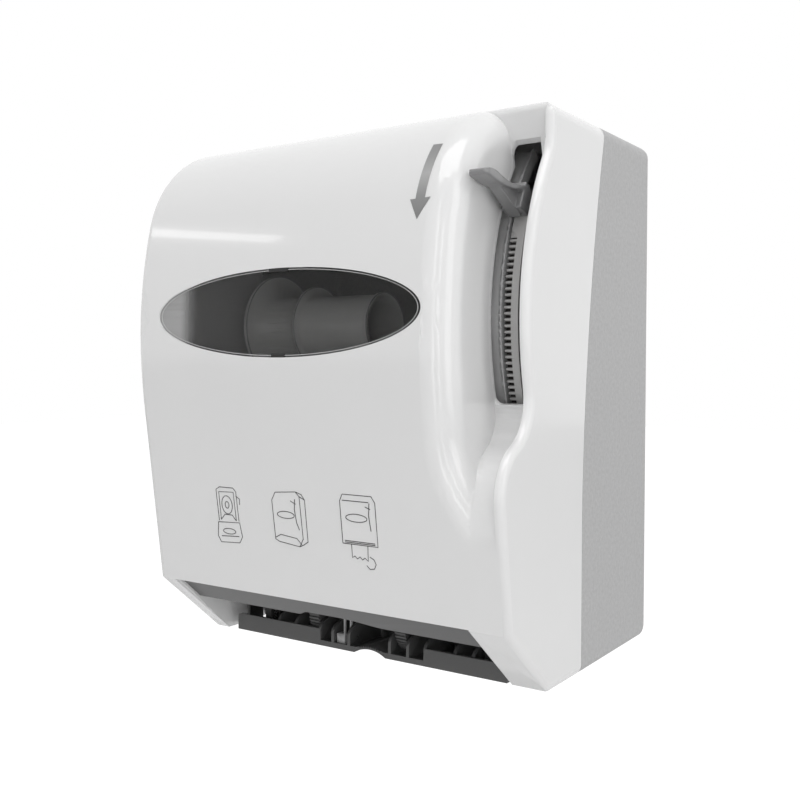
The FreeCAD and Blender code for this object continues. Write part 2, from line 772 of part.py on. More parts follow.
def makeLockHousing():
    body = post(lockX, lockForward, bodyHeight - lockBodyLength, bodyHeight, lockRadius)
    flange = post(lockX, lockForward, bodyHeight - lockFlangeDepth, bodyHeight, lockFlangeRadius)
    bore = post(lockX, lockForward, bodyHeight - lockBodyLength - 1, bodyHeight + 1, lockPlugRadius + pinClearance)
    return fuse(body, flange).cut(bore)


def makeLockPlug():
    low = bodyHeight - lockBodyLength - camThick - 0.5
    plug = post(lockX, lockForward, low, bodyHeight - 0.4, lockPlugRadius)
    key = Part.makeBox(6.0, 1.2, 6.0, point(lockX - 3.0, (lockForward + 0.6, bodyHeight - 4.0)))
    return plug.cut(key)


def makeLockCam():
    high = bodyHeight - lockBodyLength - 0.5
    low = high - camThick
    hub = post(lockX, lockForward, low, high, lockPlugRadius + 3.0)
    bore = post(lockX, lockForward, low - 1, high + 1, lockPlugRadius)
    disc = post(lockX, lockForward, low, high, camOuter)
    hole = post(lockX, lockForward, low - 1, high + 1, camInner)
    centre = point(lockX, (lockForward, low))
    reach = camOuter + 5.0
    spread = math.radians(camSpread)
    wedge = Part.makePolygon([centre, centre + Vector(reach, -reach * math.tan(spread), 0),
                              centre + Vector(reach, reach * math.tan(spread), 0), centre])
    wedge = Part.Face(wedge).extrude(Vector(0, 0, camThick))
    hook = disc.cut(hole).common(wedge)
    arm = Part.makeBox(camInner + 1.5, 4.0, camThick, centre + Vector(0, -camInner * math.tan(spread) - 1.2, 0))
    arm = arm.common(disc)
    return fuse(hub, hook, arm).cut(bore)


def makeLockKeeper():
    top = bodyHeight - wall
    riser = block(lockX - keeperHalfWidth, lockX + keeperHalfWidth, keeperBack, keeperBack + keeperDepth,
                  keeperPlate, top)
    plate = block(lockX - keeperHalfWidth, lockX + keeperHalfWidth, keeperBack, lockForward - postReach + 4.0,
                  keeperPlate, keeperPlate + 3.0)
    pin = post(lockX, lockForward - postReach, bodyHeight - lockBodyLength - camThick - 5.0,
               keeperPlate + 1.0, postRadius)
    return fuse(riser, plate, pin)


# ---- gears ------------------------------------------------------------------------------

def involute(angle):
    return math.tan(angle) - angle


def toothSteps(centre, teeth, phase, first, last):
    """Outline steps of the teeth from number first to last, upwards about centre."""
    pitchRadius = module * teeth / 2
    tip = pitchRadius + toothHeight * module
    root = pitchRadius - toothRoot * module
    pressure = math.radians(pressureAngle)
    base = pitchRadius * math.cos(pressure)
    half = math.pi / 2 / teeth - backlash / 4 / pitchRadius + involute(pressure)

    def halfAngle(radius):
        if radius <= base:
            return math.degrees(half)
        return math.degrees(half - involute(math.acos(base / radius)))

    foot = max(root, base)
    middle = (foot + tip) / 2
    steps = []
    for index in range(first, last + 1):
        angle = phase + index * 360.0 / teeth
        steps.append((polar(centre, root, angle - halfAngle(root)),))
        if base > root:
            steps.append((polar(centre, base, angle - halfAngle(base)),))
        steps.append((polar(centre, middle, angle - halfAngle(middle)),
                      polar(centre, tip, angle - halfAngle(tip))))
        steps.append((polar(centre, tip, angle + halfAngle(tip)),))
        steps.append((polar(centre, middle, angle + halfAngle(middle)),
                      polar(centre, foot, angle + halfAngle(foot))))
        if base > root:
            steps.append((polar(centre, root, angle + halfAngle(root)),))
    return steps


def gearWheel(xLeft, xRight, centre, teeth, phase, bore):
    steps = toothSteps(centre, teeth, phase, 0, teeth - 1)
    start = steps[0][0]
    wheel = prism(xLeft, xRight, start, steps[1:] + [(start,)])
    return wheel.cut(rod(xLeft - 1, xRight + 1, centre, bore))


def meshPhase(centre, teeth, phase, otherCentre, otherTeeth):
    """The phase of the second gear whose tooth space faces the first gear's tooth."""
    line = math.degrees(math.atan2(otherCentre[1] - centre[1], otherCentre[0] - centre[0]))
    share = ((line - phase) * teeth / 360.0) % 1.0
    return line + 180 - (0.5 - share) * 360.0 / otherTeeth


def pitch(teeth):
    return module * teeth / 2


pinionAxis = polar(pivot, pitch(sectorTeeth) + pitch(pinionTeeth), pinionAngle)
trainGap = math.hypot(rollerAxis[0] - pinionAxis[0], rollerAxis[1] - pinionAxis[1])
idlerTeeth = max(idlerLeast, math.ceil(trainGap / module - (stepTeeth + rollerTeeth) / 2 + idlerSlack))


def idlerPlace():
    """The idler axis, in mesh with the step gear and the roller gear, on the wall side."""
    near = pitch(stepTeeth) + pitch(idlerTeeth)
    far = pitch(rollerTeeth) + pitch(idlerTeeth)
    along = (near ** 2 - far ** 2 + trainGap ** 2) / 2 / trainGap
    aside = math.sqrt(near ** 2 - along ** 2)
    unit = ((rollerAxis[0] - pinionAxis[0]) / trainGap, (rollerAxis[1] - pinionAxis[1]) / trainGap)
    return (pinionAxis[0] + unit[0] * along + unit[1] * aside,
            pinionAxis[1] + unit[1] * along - unit[0] * aside)


idlerAxis = idlerPlace()
pinionPhase = meshPhase(pivot, sectorTeeth, 0.0, pinionAxis, pinionTeeth)
idlerPhase = meshPhase(pinionAxis, stepTeeth, 0.0, idlerAxis, idlerTeeth)
rollerPhase = meshPhase(idlerAxis, idlerTeeth, idlerPhase, rollerAxis, rollerTeeth)
sectorTip = pitch(sectorTeeth) + toothHeight * module


def makeSectorGear():
    rimInner = sectorTip - rimDepth
    step = 360.0 / sectorTeeth
    first = math.ceil(sectorToothLow / step)
    last = math.floor(sectorToothTop / step)
    lowEdge = (first - 0.5) * step
    start = polar(pivot, rimInner, lowEdge)
    root = pitch(sectorTeeth) - toothRoot * module
    steps = [(polar(pivot, root, lowEdge),)] + toothSteps(pivot, sectorTeeth, 0.0, first, last)
    smooth = (last + 0.5) * step
    steps += [(polar(pivot, root, smooth),), (polar(pivot, sectorTip, smooth),),
              (polar(pivot, sectorTip, (smooth + sectorTop) / 2), polar(pivot, sectorTip, sectorTop)),
              (polar(pivot, rimInner, sectorTop),),
              (polar(pivot, rimInner, (lowEdge + sectorTop) / 2), start)]
    teeth = prism(toothLeft, toothRight, start, steps)
    shroud = sector(toothRight, shroudRight, pivot, rimInner, sectorTip, lowEdge, sectorTop)
    webLeft = (toothLeft + shroudRight - webWidth) / 2
    web = sector(webLeft, webLeft + webWidth, pivot, 4.5, rimInner + 1.0, lowEdge, sectorTop)
    window = (sectorTop - lowEdge - spokeSpread) / spokeCount
    for index in range(spokeCount):
        low = lowEdge + index * window + spokeSpread
        cutout = sector(webLeft - 1, webLeft + webWidth + 1, pivot, spokeInner, rimInner - webWidth,
                        low, low + window - spokeSpread)
        web = web.cut(cutout)
    hub = rod(hubLeft, hubRight, pivot, leverHubRadius)
    return fuse(teeth, shroud, web, hub).cut(rod(0, width, pivot, pivotRadius + shaftClearance))


def makeLeverHandle():
    outer = leverRootRadius + leverRootDepth
    root = sector(leverLeft, leverRight, pivot, leverRootRadius, outer, leverLow, leverTop)
    tongue = sector(toothLeft, shroudRight, pivot, sectorTip, leverRootRadius + 1.0, leverLow, leverTop)
    rootTop = polar(pivot, leverRootRadius, leverTop)
    tip = (rootTop[0] + leverReach[0], rootTop[1] + leverReach[1])
    start, steps = leverOutline(tip)
    top = prism(leverLeft, leverRight, start, steps)
    flat = planPrism(tip, [(leverLeft, leverReach[0] + 10.0), (leverRight, leverReach[0] + 10.0),
                           (leverRight, -2.0), (leverLeft, -2.0)])
    fronts = [edge for edge in flat.Edges
              if edge.BoundBox.ZLength > 50 and edge.BoundBox.YMin < -tip[0] - 1.9]
    top = top.common(flat.makeFillet(leverTipRound, fronts))
    armStart, armEnd = (tip[0] - 12.0, tip[1] - 3.0), (tip[0] - 47.0, tip[1] - 22.0)
    arm = slab(leverLeft, leverRight, armStart, armEnd, 2.4)
    taper = planPrism(tip, [(leverMiddle - 4.6, 52.0), (leverMiddle + 4.6, 52.0),
                            (leverMiddle + 3.6, 10.0), (leverMiddle - 3.6, 10.0)])
    web = prism(leverMiddle - leverWeb / 2, leverMiddle + leverWeb / 2, (tip[0] - 50.0, tip[1] - 4.0),
                [(armStart,), (armEnd,), ((tip[0] - 50.0, tip[1] - 20.0),)])
    return fuse(root, tongue, top, arm.common(taper), web)


def leverOutline(tip):
    """The side view of the lever's thumb plate, dished on top, from its root out to the tip."""
    def away(back, down):
        return (tip[0] - back, tip[1] - down)

    start = away(54.0, 3.0)
    steps = [(away(32.0, 5.4), away(14.0, 1.8)), (away(6.0, 0.4), away(0.4, 0.8)),
             (away(-1.6, 2.6), away(0.6, 0.8 + leverThick)),
             (away(26.0, 5.0 + leverThick), away(50.0, 3.6 + leverThick)),
             (away(54.0, 3.6 + leverThick),)]
    return start, steps


def slab(xLeft, xRight, first, last, thick):
    """A flat strip along the line from first to last, with its thickness below the line."""
    run = (last[0] - first[0], last[1] - first[1])
    length = math.hypot(run[0], run[1])
    down = (-run[1] / length * thick, run[0] / length * thick)
    start, steps = corners(first, last, (last[0] - down[0], last[1] + down[1]),
                           (first[0] - down[0], first[1] + down[1]))
    return prism(xLeft, xRight, start, steps)


def planPrism(tip, outline):
    """An upright prism from (x, distance back from the tip) corners, tall enough for the lever."""
    low = tip[1] - 60.0
    line = [point(x, (tip[0] - back, low)) for x, back in outline]
    return Part.Face(Part.makePolygon(line + line[:1])).extrude(Vector(0, 0, 120.0))


def makePinion():
    bore = axleRadius + shaftClearance
    pinion = gearWheel(toothLeft - 0.4, toothRight - 0.3, pinionAxis, pinionTeeth, pinionPhase, bore)
    neck = ring(gearRight - 0.5, toothLeft - 0.3, pinionAxis, pitch(pinionTeeth) - toothRoot * module, bore)
    step = gearWheel(gearLeft, gearRight, pinionAxis, stepTeeth, 0.0, bore)
    spacer = ring(gearSpacerLeft, gearLeft + 0.5, pinionAxis, spacerRadius, bore)
    outerSpacer = ring(toothRight - 0.5, outerPlateLeft - spacerGap, pinionAxis, spacerRadius, bore)
    return fuse(pinion, neck, step, spacer, outerSpacer)


def makeIdler():
    wheel = gearWheel(gearLeft, gearRight, idlerAxis, idlerTeeth, idlerPhase, axleRadius + shaftClearance)
    radius = pitch(idlerTeeth)
    recess = ring(gearLeft - 1, gearLeft + 2.5, idlerAxis, radius - 4.5, 6.0)
    recess = recess.fuse(ring(gearRight - 2.5, gearRight + 1, idlerAxis, radius - 4.5, 6.0))
    spacer = ring(gearSpacerLeft, gearLeft + 0.5, idlerAxis, spacerRadius, axleRadius + shaftClearance)
    return fuse(wheel.cut(recess), spacer)


def makeRollerGear():
    wheel = gearWheel(gearLeft, gearRight, rollerAxis, rollerTeeth, rollerPhase, shaftRadius)
    recess = ring(gearRight - 4.0, gearRight + 1, rollerAxis, pitch(rollerTeeth) - 4.5, 7.0)
    return wheel.cut(recess)


# ---- plates and guide ------------------------------------------------------------------

def lipInnerLine():
    run = (lipTop[0] - lipLow[0], lipTop[1] - lipLow[1])
    length = math.hypot(run[0], run[1])
    shift = (-run[1] / length * lipThick, run[0] / length * lipThick)
    return ((lipTop[0] + shift[0], lipTop[1] + shift[1]), (lipLow[0] + shift[0], lipLow[1] + shift[1]))


def sidePlate(xLeft, steps, start, holes):
    plate = prism(xLeft, xLeft + plateThick, start, steps)
    for place, radius in holes:
        plate = plate.cut(rod(xLeft - 1, xLeft + plateThick + 1, place, radius))
    return plate


def frontPlateEdge():
    """The edge shared by both side plates: down the lip's back and along the bottom."""
    high, low = lipInnerLine()
    return [(high,), (low,), ((exitFront - 6.0, plateLow + 2.0),), ((exitBack, plateLow),)]


def makeInnerPlate():
    back = wall
    edge = guideInner + guideFoot
    start, steps = corners((back, plateLow), (back, bodyHeight - plateShoulderDrop),
                           (plateTopForward, bodyHeight - plateTopDrop))
    steps = steps + [(polar(pivot, edge, guideTop),),
                     (polar(pivot, edge, (guideTop - 25.0) / 2), polar(pivot, edge, -25.0)),
                     ((pinionAxis[0] + 14.0, pinionAxis[1] + 8.0),),
                     ((pinionAxis[0] + 14.0, (pinionAxis[1] + rollerAxis[1]) / 2),)]
    steps = steps + frontPlateEdge()
    holes = [(pivot, pivotRadius), (pinionAxis, axleRadius), (idlerAxis, axleRadius),
             (rollerAxis, bushRadius), (rollAxis, hubAxleRadius)]
    plate = sidePlate(innerPlateLeft, steps, start, holes)
    deep = guideInner - plateWindowSet[0]
    near = guideInner - plateWindowSet[1]
    for low, high in ((-26.0, 2.0), (8.0, 36.0)):
        plate = plate.cut(sector(innerPlateLeft - 1, innerPlateRight + 1, pivot, deep, near, low, high))
    flange = block(innerPlateLeft - flangeReach, innerPlateLeft, back, back + plateThick, flangeLow, flangeHigh)
    return fuse(plate, flange)


def makeOuterPlate():
    low, high = outerFoot
    start, steps = corners((wall, low), (wall, high), (pivot[0] + 17.0, high),
                           (pinionAxis[0] + 8.0, pinionAxis[1] + 12.0),
                           (pinionAxis[0] + 8.0, pinionAxis[1] - 10.0),
                           (pinionAxis[0] - 12.0, pinionAxis[1] - 12.0))
    plate = prism(outerPlateLeft, outerPlateRight, start, steps)
    for foot in (low, high - footHeight):
        plate = plate.fuse(block(outerPlateLeft - flangeReach, outerPlateRight, wall, wall + outerPlateThick,
                                 foot, foot + footHeight))
    for place, radius in ((pivot, pivotRadius), (pinionAxis, axleRadius)):
        plate = plate.cut(rod(outerPlateLeft - 1, outerPlateRight + 1, place, radius))
    return plate.removeSplitter()


def makeLeftPlate():
    start, steps = corners((wall, plateLow), (wall, leftPlateHigh), (rollerAxis[0] - 70.0, leftPlateHigh),
                           (rollerAxis[0] + 20.0, leftPlateHigh - 20.0))
    plate = sidePlate(leftPlateLeft, steps + frontPlateEdge(), start, [(rollerAxis, bushRadius)])
    flange = block(leftPlateRight, leftPlateRight + flangeReach, wall, wall + plateThick, *leftFlange)
    return fuse(plate, flange)


def makeLeverGuide():
    strip = sector(guideLeft, guideRight, pivot, guideInner, guideOuter, guideLow, guideTop)
    lip = sector(guideRight - guideLip, guideRight, pivot, guideOuter - 1.0, guideOuter + guideLip,
                 guideLow, guideTop)
    foot = sector(innerPlateRight, guideLeft, pivot, guideInner, guideInner + guideFoot, guideLow, guideTop)
    return fuse(strip, lip, foot)


pinchForward = rollerAxis[0] - pinchSetBack
pinchAxis = (pinchForward, rollerAxis[1] - math.sqrt((rollerRadius + pinchRadius + pinchGap) ** 2
                                                     - pinchSetBack ** 2))


def makeFeedShaft():
    return rod(leftPlateLeft - 1.0, gearRight + 3.0, rollerAxis, shaftRadius)


def makeFeedCore():
    core = ring(rollerLeft, rollerRight, rollerAxis, rollerCoreRadius, shaftRadius)
    for place in sleevePlaces:
        seat = ring(place - sleeveWidth / 2, place + sleeveWidth / 2, rollerAxis, rollerRadius, sleeveSeat)
        core = core.cut(seat)
    return core


def makeFeedSleeves():
    sleeves = []
    for place in sleevePlaces:
        sleeves.append(ring(place - sleeveWidth / 2, place + sleeveWidth / 2, rollerAxis, rollerRadius, sleeveSeat))
    return Part.makeCompound(sleeves)


def makeFeedBushes():
    bushes = []
    for face, side in ((leftPlateRight, 1), (innerPlateLeft, -1)):
        sleeve = sorted((face, face - side * plateThick))
        flange = sorted((face, face + side * 1.4))
        body = fuse(rod(sleeve[0], sleeve[1], rollerAxis, bushRadius),
                    rod(flange[0], flange[1], rollerAxis, bushRadius + bushFlange))
        bushes.append(body.cut(rod(-width, width, rollerAxis, shaftRadius + shaftClearance)))
    return Part.makeCompound(bushes)


def makePinchAxle():
    return rod(pinchPosts[0] - postWidth / 2, pinchPosts[1] + postWidth / 2, pinchAxis, shaftRadius)


def makePinchWheels():
    step = 360.0 / knurlCount
    floor = pinchRadius - knurlDepth
    steps = []
    for index in range(knurlCount):
        angle = index * step
        steps += [(polar(pinchAxis, pinchRadius, angle + step * 0.2),
                   polar(pinchAxis, pinchRadius, angle + step * 0.4)),
                  (polar(pinchAxis, floor, angle + step * 0.5),),
                  (polar(pinchAxis, floor, angle + step * 0.9),),
                  (polar(pinchAxis, pinchRadius, angle + step),)]
    start = polar(pinchAxis, pinchRadius, 0.0)
    wheels = []
    for place in pinchPlaces:
        left = place - pinchWheelWidth / 2
        right = left + pinchWheelWidth
        wheel = prism(left, right, start, steps)
        wheels.append(wheel.cut(rod(left - 1, right + 1, pinchAxis, shaftRadius + shaftClearance)))
    return Part.makeCompound(wheels)


def coil(base, axis, inner, wire, turns, length):
    """A coil spring drawn as a ribbed sleeve, one ridge for each turn."""
    rise = length / turns
    line = [Vector(inner, 0, 0), Vector(inner + wire / 2, 0, 0)]
    for index in range(turns):
        line.append(Vector(inner + wire, 0, (index + 0.5) * rise))
        line.append(Vector(inner + wire / 2, 0, (index + 1) * rise))
    line.append(Vector(inner, 0, length))
    body = Part.Face(Part.makePolygon(line + line[:1])).revolve(Vector(), Vector(0, 0, 1), 360)
    body.Placement = FreeCAD.Placement(base, FreeCAD.Rotation(Vector(0, 0, 1), axis))
    return body


def makePinchSprings():
    springs = []
    low = exitWall + springSeat
    length = pinchAxis[1] - shaftRadius - low
    for x in pinchPosts:
        springs.append(coil(point(x, (pinchForward, low)), Vector(0, 0, 1), 1.8, 1.0, 6, length - 0.1))
    return Part.makeCompound(springs)


def frontBar(left, right, high, leftCorner):
    """One length of the bar across the front, with its left upper corner rounded if asked."""
    bar = block(left, right, exitFront - exitWall, exitFront, 0.0, high)
    if not leftCorner:
        return bar
    edge = [edge for edge in bar.Edges
            if edge.BoundBox.XMax < left + 1e-4 and edge.BoundBox.ZMin > high - mountHeight - 1e-4]
    return bar.makeFillet(barRound, edge)


def makeExitFrame():
    left = leftPlateRight
    barLeft = left + exitEndGap
    front = exitFront - exitWall
    lowLeft, lowRight = [ribPlaces[index] for index in lowBarRibs]
    frame = fuse(block(left, exitRight, exitBack, exitFront, 0.0, exitWall),
                 block(left, exitRight, exitBack, exitBack + exitWall, 0.0, plateLow),
                 frontBar(barLeft, lowLeft, barHigh, True),
                 frontBar(lowRight, exitRight, barHigh, False),
                 frontBar(lowLeft, lowRight, barLow, False))
    start, steps = exitRibOutline()
    for place in ribPlaces:
        frame = frame.fuse(prism(place - ribThick / 2, place + ribThick / 2, start, steps))
    for x in pinchPosts:
        frame = frame.fuse(block(x - postWidth / 2, x + postWidth / 2, pinchForward - postDepth / 2,
                                 pinchForward + postDepth / 2, 0.0, pinchAxis[1] + 5.0))
    gap = shaftRadius + 0.25
    frame = frame.cut(block(pinchPosts[0], pinchPosts[1], pinchForward - gap, pinchForward + gap,
                            pinchAxis[1] - shaftRadius - axleDrop, pinchAxis[1] + 10.0))
    for x in pinchPosts:
        frame = frame.cut(block(x - postWidth / 2 - 0.2, x + postWidth / 2 + 0.2, pinchForward - gap,
                                pinchForward + gap, exitWall + springSeat, pinchAxis[1] + 10.0))
    for fin in (left, innerPlateRight):
        frame = frame.fuse(block(fin, fin + exitWall, exitBack, exitFront - 16.0, 0.0, finTop))
    frame = frame.cut(block(left - 1.0, barLeft, exitFront - 16.0, exitFront + 1.0, -1.0, finTop))
    for ear in hingeEarPlaces:
        frame = frame.cut(block(ear - exitEndGap, ear + hingeEarWidth + 1.0, exitBack - 1.0,
                                exitBack + exitNotch, -1.0, hingeHeight + hingeEarRadius + 1.5))
    middle = (archLeft + archRight) / 2
    half = (archRight - archLeft) / 2
    radius = (half ** 2 + archRise ** 2) / 2 / archRise
    hoop = frontDisc(middle, exitBack, exitFront, archRise - radius, radius + exitWall)
    hoop = hoop.common(block(archLeft - 1, archRight + 1, exitBack, exitFront, 0.0, plateLow))
    frame = frame.fuse(hoop)
    frame = frame.cut(frontDisc(middle, exitBack + archSetBack, exitFront + 1, archRise - radius, radius))
    archX = ribPlaces[archRib]
    eye = (exitFront - ribEye[0], ribEye[1])
    frame = frame.cut(rod(archX - ribThick, archX + ribThick, eye, ribEyeRadius))
    slots = []
    for low, high in zip(ribPlaces[:-1], ribPlaces[1:]):
        if high < archLeft or low > archRight:
            slots.append(block(low + ribThick, high - ribThick, exitFront - slotSetBack[1],
                               exitFront - slotSetBack[0], -1.0, exitWall + 0.5))
    return frame.cut(slots).removeSplitter()


def frontDisc(x, back, front, height, radius):
    """A disc that faces forward, for the arch in the middle of the exit."""
    return Part.makeCylinder(radius, front - back, point(x, (back, height)), Vector(0, -1, 0))


def exitRibOutline():
    """The side view of one rib: upright at the front, then rounded back to the full height."""
    return corners((exitBack, 0.0), (exitBack, plateLow), (exitFront - 9.0, plateLow - 1.5),
                   (exitFront - 3.5, plateLow - 3.6), (exitFront - 0.8, plateLow - 6.2),
                   (exitFront, barHigh - 1.0), (exitFront, 0.0))


def makeFrontLip():
    """The lip across the mouth. Its lower edge rises in a wave in the middle."""
    high, low = lipInnerLine()
    start, steps = corners(lipTop, lipLow, low, high)
    lip = prism(mouthLeft + mouthGap, mouthRight - mouthGap, start, steps)
    front = -lipTop[0] - 5.0
    base = lipLow[1] - mountHeight
    places = [Vector(across(share), front, base + rise)
              for share, rise in zip(lipWaveShares, (0.0, lipRise, lipRise, 0.0))]
    line = []
    for first, last in ((0, 1), (2, 3)):
        curve = Part.BezierCurve()
        middle = (places[first].x + places[last].x) / 2
        curve.setPoles([places[first], Vector(middle, front, places[first].z),
                        Vector(middle, front, places[last].z), places[last]])
        line.append(curve.toShape())
    below = [Vector(places[3].x, front, base - 5.0), Vector(places[0].x, front, base - 5.0)]
    outline = [line[0], Part.makeLine(places[1], places[2]), line[1], Part.makeLine(places[3], below[0]),
               Part.makeLine(below[0], below[1]), Part.makeLine(below[1], places[0])]
    return lip.cut(Part.Face(Part.Wire(outline)).extrude(Vector(0, bodyDepth / 2, 0)))


def makeTearBlade():
    """A thin steel strip on the back of the lip, with a saw edge that looks down."""
    high, low = lipInnerLine()
    run = (high[0] - low[0], high[1] - low[1])
    length = math.hypot(run[0], run[1])
    unit = (run[0] / length, run[1] / length)
    left = leftPlateRight + bladeEnd
    right = innerPlateLeft - bladeEnd

    def place(x, up):
        return point(x, (low[0] + unit[0] * up, low[1] + unit[1] * up))

    count = int((right - left) / bladePitch)
    start = left + (right - left - count * bladePitch) / 2
    edge = [place(left, bladeLow)]
    for index in range(count):
        x = start + index * bladePitch
        edge += [place(x, bladeLow + bladeTooth), place(x + bladePitch / 2, bladeLow)]
    edge += [place(right, bladeLow + bladeTooth), place(right, length - bladeHigh),
             place(left, length - bladeHigh)]
    face = Part.Face(Part.makePolygon(edge + edge[:1]))
    return face.extrude(Vector(0, unit[1], unit[0]) * bladeThick)


def makeStripperFinger():
    """A block behind the low bar with two upright tines beside it."""
    left = across(fingerShare) - fingerWidth / 2
    front = exitFront - exitWall - 0.4
    foot = block(left, left + fingerWidth, front - fingerDepth, front, exitWall, exitWall + fingerFoot)
    sill = block(left, left + tineReach[1] + tineWidth, front - fingerDepth, front, exitWall, exitWall + 1.2)
    tines = [block(left + reach, left + reach + tineWidth, front - 4.0, front - 2.0, exitWall, fingerTop)
             for reach in tineReach]
    return fuse(foot, sill, *tines)


def makeRollArm():
    low = rollAxis[1] - armHalfHeight
    high = rollAxis[1] + armHalfHeight
    arm = block(armLeft, armRight, armPivotForward, rollAxis[0], low, high)
    arm = arm.fuse(rod(armLeft, armRight, rollAxis, armHalfHeight))
    knuckle = post(armPinX, armPivotForward, low, high, armKnuckle)
    axle = rod(armLeft, leftHub[0] + hubAxleReach, rollAxis, hubAxleRadius)
    shoulder = rod(armLeft, leftHub[0] - 0.3, rollAxis, hubAxleRadius + 3.0)
    slot = block(armLeft - 1, armRight + 1, armSlot[0], armSlot[0] + armSlot[1], rollAxis[1] - armSlotHalf,
                 rollAxis[1] + armSlotHalf)
    arm = fuse(arm, knuckle, axle, shoulder).cut(slot)
    return arm.cut(post(armPinX, armPivotForward, low - 1, high + 1, armPinRadius + pinClearance))


def hub(closed, far):
    """A hollow roll hub: a wall and a flange at its closed end, open at the far end."""
    side = 1 if far > closed else -1

    def length(first, last, radius):
        near, end = sorted((closed + side * first, closed + side * last))
        return rod(near, end, rollAxis, radius)

    reach = abs(far - closed)
    body = length(0.0, reach, hubRadius).cut(length(3.0, reach + 1.0, hubRadius - hubSkin))
    body = fuse(body, length(0.0, 2.4, hubFlange), length(0.0, hubBoss, hubAxleRadius + 3.0))
    return body.cut(length(-1.0, hubBoss + 1.0, hubAxleRadius + shaftClearance))


def makeLeftHub():
    place = leftHub[0] + hubRingSet
    collar = ring(place, place + 2.0, rollAxis, hubRingRadius, hubRadius - 1.0)
    rim = ring(leftHub[1] - 2.0, leftHub[1], rollAxis, hubRadius + 1.6, hubRadius - hubSkin)
    return fuse(hub(leftHub[0], leftHub[1]), collar, rim)


def makeRightHub():
    return hub(rightHub[1], rightHub[0])


def makeRightHubAxle():
    axle = rod(rightHub[1] - hubAxleReach, innerPlateRight, rollAxis, hubAxleRadius)
    return axle.fuse(rod(rightHub[1] + 0.3, innerPlateLeft, rollAxis, hubAxleRadius + 3.0))


def makeRollArmPin():
    return post(armPinX, armPivotForward, armLugPlaces[0], armLugPlaces[1] + armLugThick, armPinRadius)


def makeRollArmSpring():
    low = rollAxis[1] + armHalfHeight + 0.3
    return coil(point(armPinX, (armPivotForward, low)), Vector(0, 0, 1), armPinRadius + 0.3, 1.2, 5,
                armLugPlaces[1] - low - 0.2)


def makeLeverSpring():
    length = hubLeft - innerPlateRight - 2 * spacerGap
    return coil(point(gearSpacerLeft, pivot), Vector(1, 0, 0), pivotRadius + 1.2, 1.6, 8, length)


def frameScrew(x, height):
    head = Part.makeCylinder(3.4, 2.2, point(x, (wall + plateThick, height)), Vector(0, -1, 0))
    shank = Part.makeCylinder(1.6, wall + plateThick + 0.1, point(x, (0.4, height)), Vector(0, -1, 0))
    return head.fuse(shank)


screwPlaces = [(innerPlateLeft - screwEdge, flangeLow + screwEnd),
               (innerPlateLeft - screwEdge, (flangeLow + flangeHigh) / 2),
               (innerPlateLeft - screwEdge, flangeHigh - screwEnd),
               (leftPlateRight + screwEdge, leftFlange[0] + screwEnd),
               (leftPlateRight + screwEdge, leftFlange[1] - screwEnd),
               (outerPlateLeft - screwEdge, outerFoot[0] + footHeight / 2),
               (outerPlateLeft - screwEdge, outerFoot[1] - footHeight / 2)]


def makeFrameScrews():
    return Part.makeCompound([frameScrew(x, height) for x, height in screwPlaces])


def makeClips():
    clips = []
    for x, place, radius in ((outerPlateRight + 0.1, pivot, pivotRadius),
                             (outerPlateRight + 0.1, pinionAxis, axleRadius),
                             (gearRight + 0.2, idlerAxis, axleRadius)):
        clips.append(ring(x, x + 0.8, place, radius + 2.0, radius))
    return Part.makeCompound(clips)


def screwHoles(shape):
    for x, height in screwPlaces:
        shape = shape.cut(Part.makeCylinder(1.6, 20.0, point(x, (0.4, height)), Vector(0, -1, 0)))
    return shape


def build():
    parts["rear_case"] = screwHoles(makeCase())
    parts["front_cover"] = makeCover()
    parts["window_lens"] = makeWindow()
    parts["hinge_pins"] = makeHingePins()
    parts["lock_housing"] = makeLockHousing()
    parts["lock_plug"] = makeLockPlug()
    parts["lock_cam"] = makeLockCam()
    parts["lock_keeper"] = makeLockKeeper()
    parts["inner_drive_plate"] = screwHoles(makeInnerPlate())
    parts["outer_drive_plate"] = screwHoles(makeOuterPlate())
    parts["left_side_plate"] = screwHoles(makeLeftPlate())
    parts["lever_guide"] = makeLeverGuide()
    parts["sector_gear"] = makeSectorGear()
    parts["lever_handle"] = makeLeverHandle()
    parts["lever_pivot_pin"] = rod(innerPlateLeft, outerPlateRight + 1.2, pivot, pivotRadius)
    parts["lever_spring"] = makeLeverSpring()
    parts["drive_pinion"] = makePinion()
    parts["pinion_axle"] = rod(innerPlateLeft, outerPlateRight + 1.2, pinionAxis, axleRadius)
    parts["idler_gear"] = makeIdler()
    parts["idler_axle"] = rod(innerPlateLeft, gearRight + 1.4, idlerAxis, axleRadius)
    parts["roller_gear"] = makeRollerGear()
    parts["feed_shaft"] = makeFeedShaft()
    parts["feed_roller_core"] = makeFeedCore()
    parts["feed_roller_sleeves"] = makeFeedSleeves()
    parts["feed_bushes"] = makeFeedBushes()
    parts["pinch_axle"] = makePinchAxle()
    parts["pinch_wheels"] = makePinchWheels()
    parts["pinch_springs"] = makePinchSprings()
    parts["exit_frame"] = makeExitFrame()
    parts["front_lip"] = makeFrontLip()
    parts["tear_blade"] = makeTearBlade()
    parts["stripper_fingers"] = makeStripperFinger()
    parts["roll_arm"] = makeRollArm()
    parts["left_hub"] = makeLeftHub()
    parts["right_hub"] = makeRightHub()
    parts["right_hub_axle"] = makeRightHubAxle()
    parts["roll_arm_pin"] = makeRollArmPin()
    parts["roll_arm_spring"] = makeRollArmSpring()
    parts["frame_screws"] = makeFrameScrews()
    parts["retaining_clips"] = makeClips()


build()
os.makedirs("parts", exist_ok=True)
for name, shape in parts.items():
    shape.exportStep("parts/" + name + ".step")
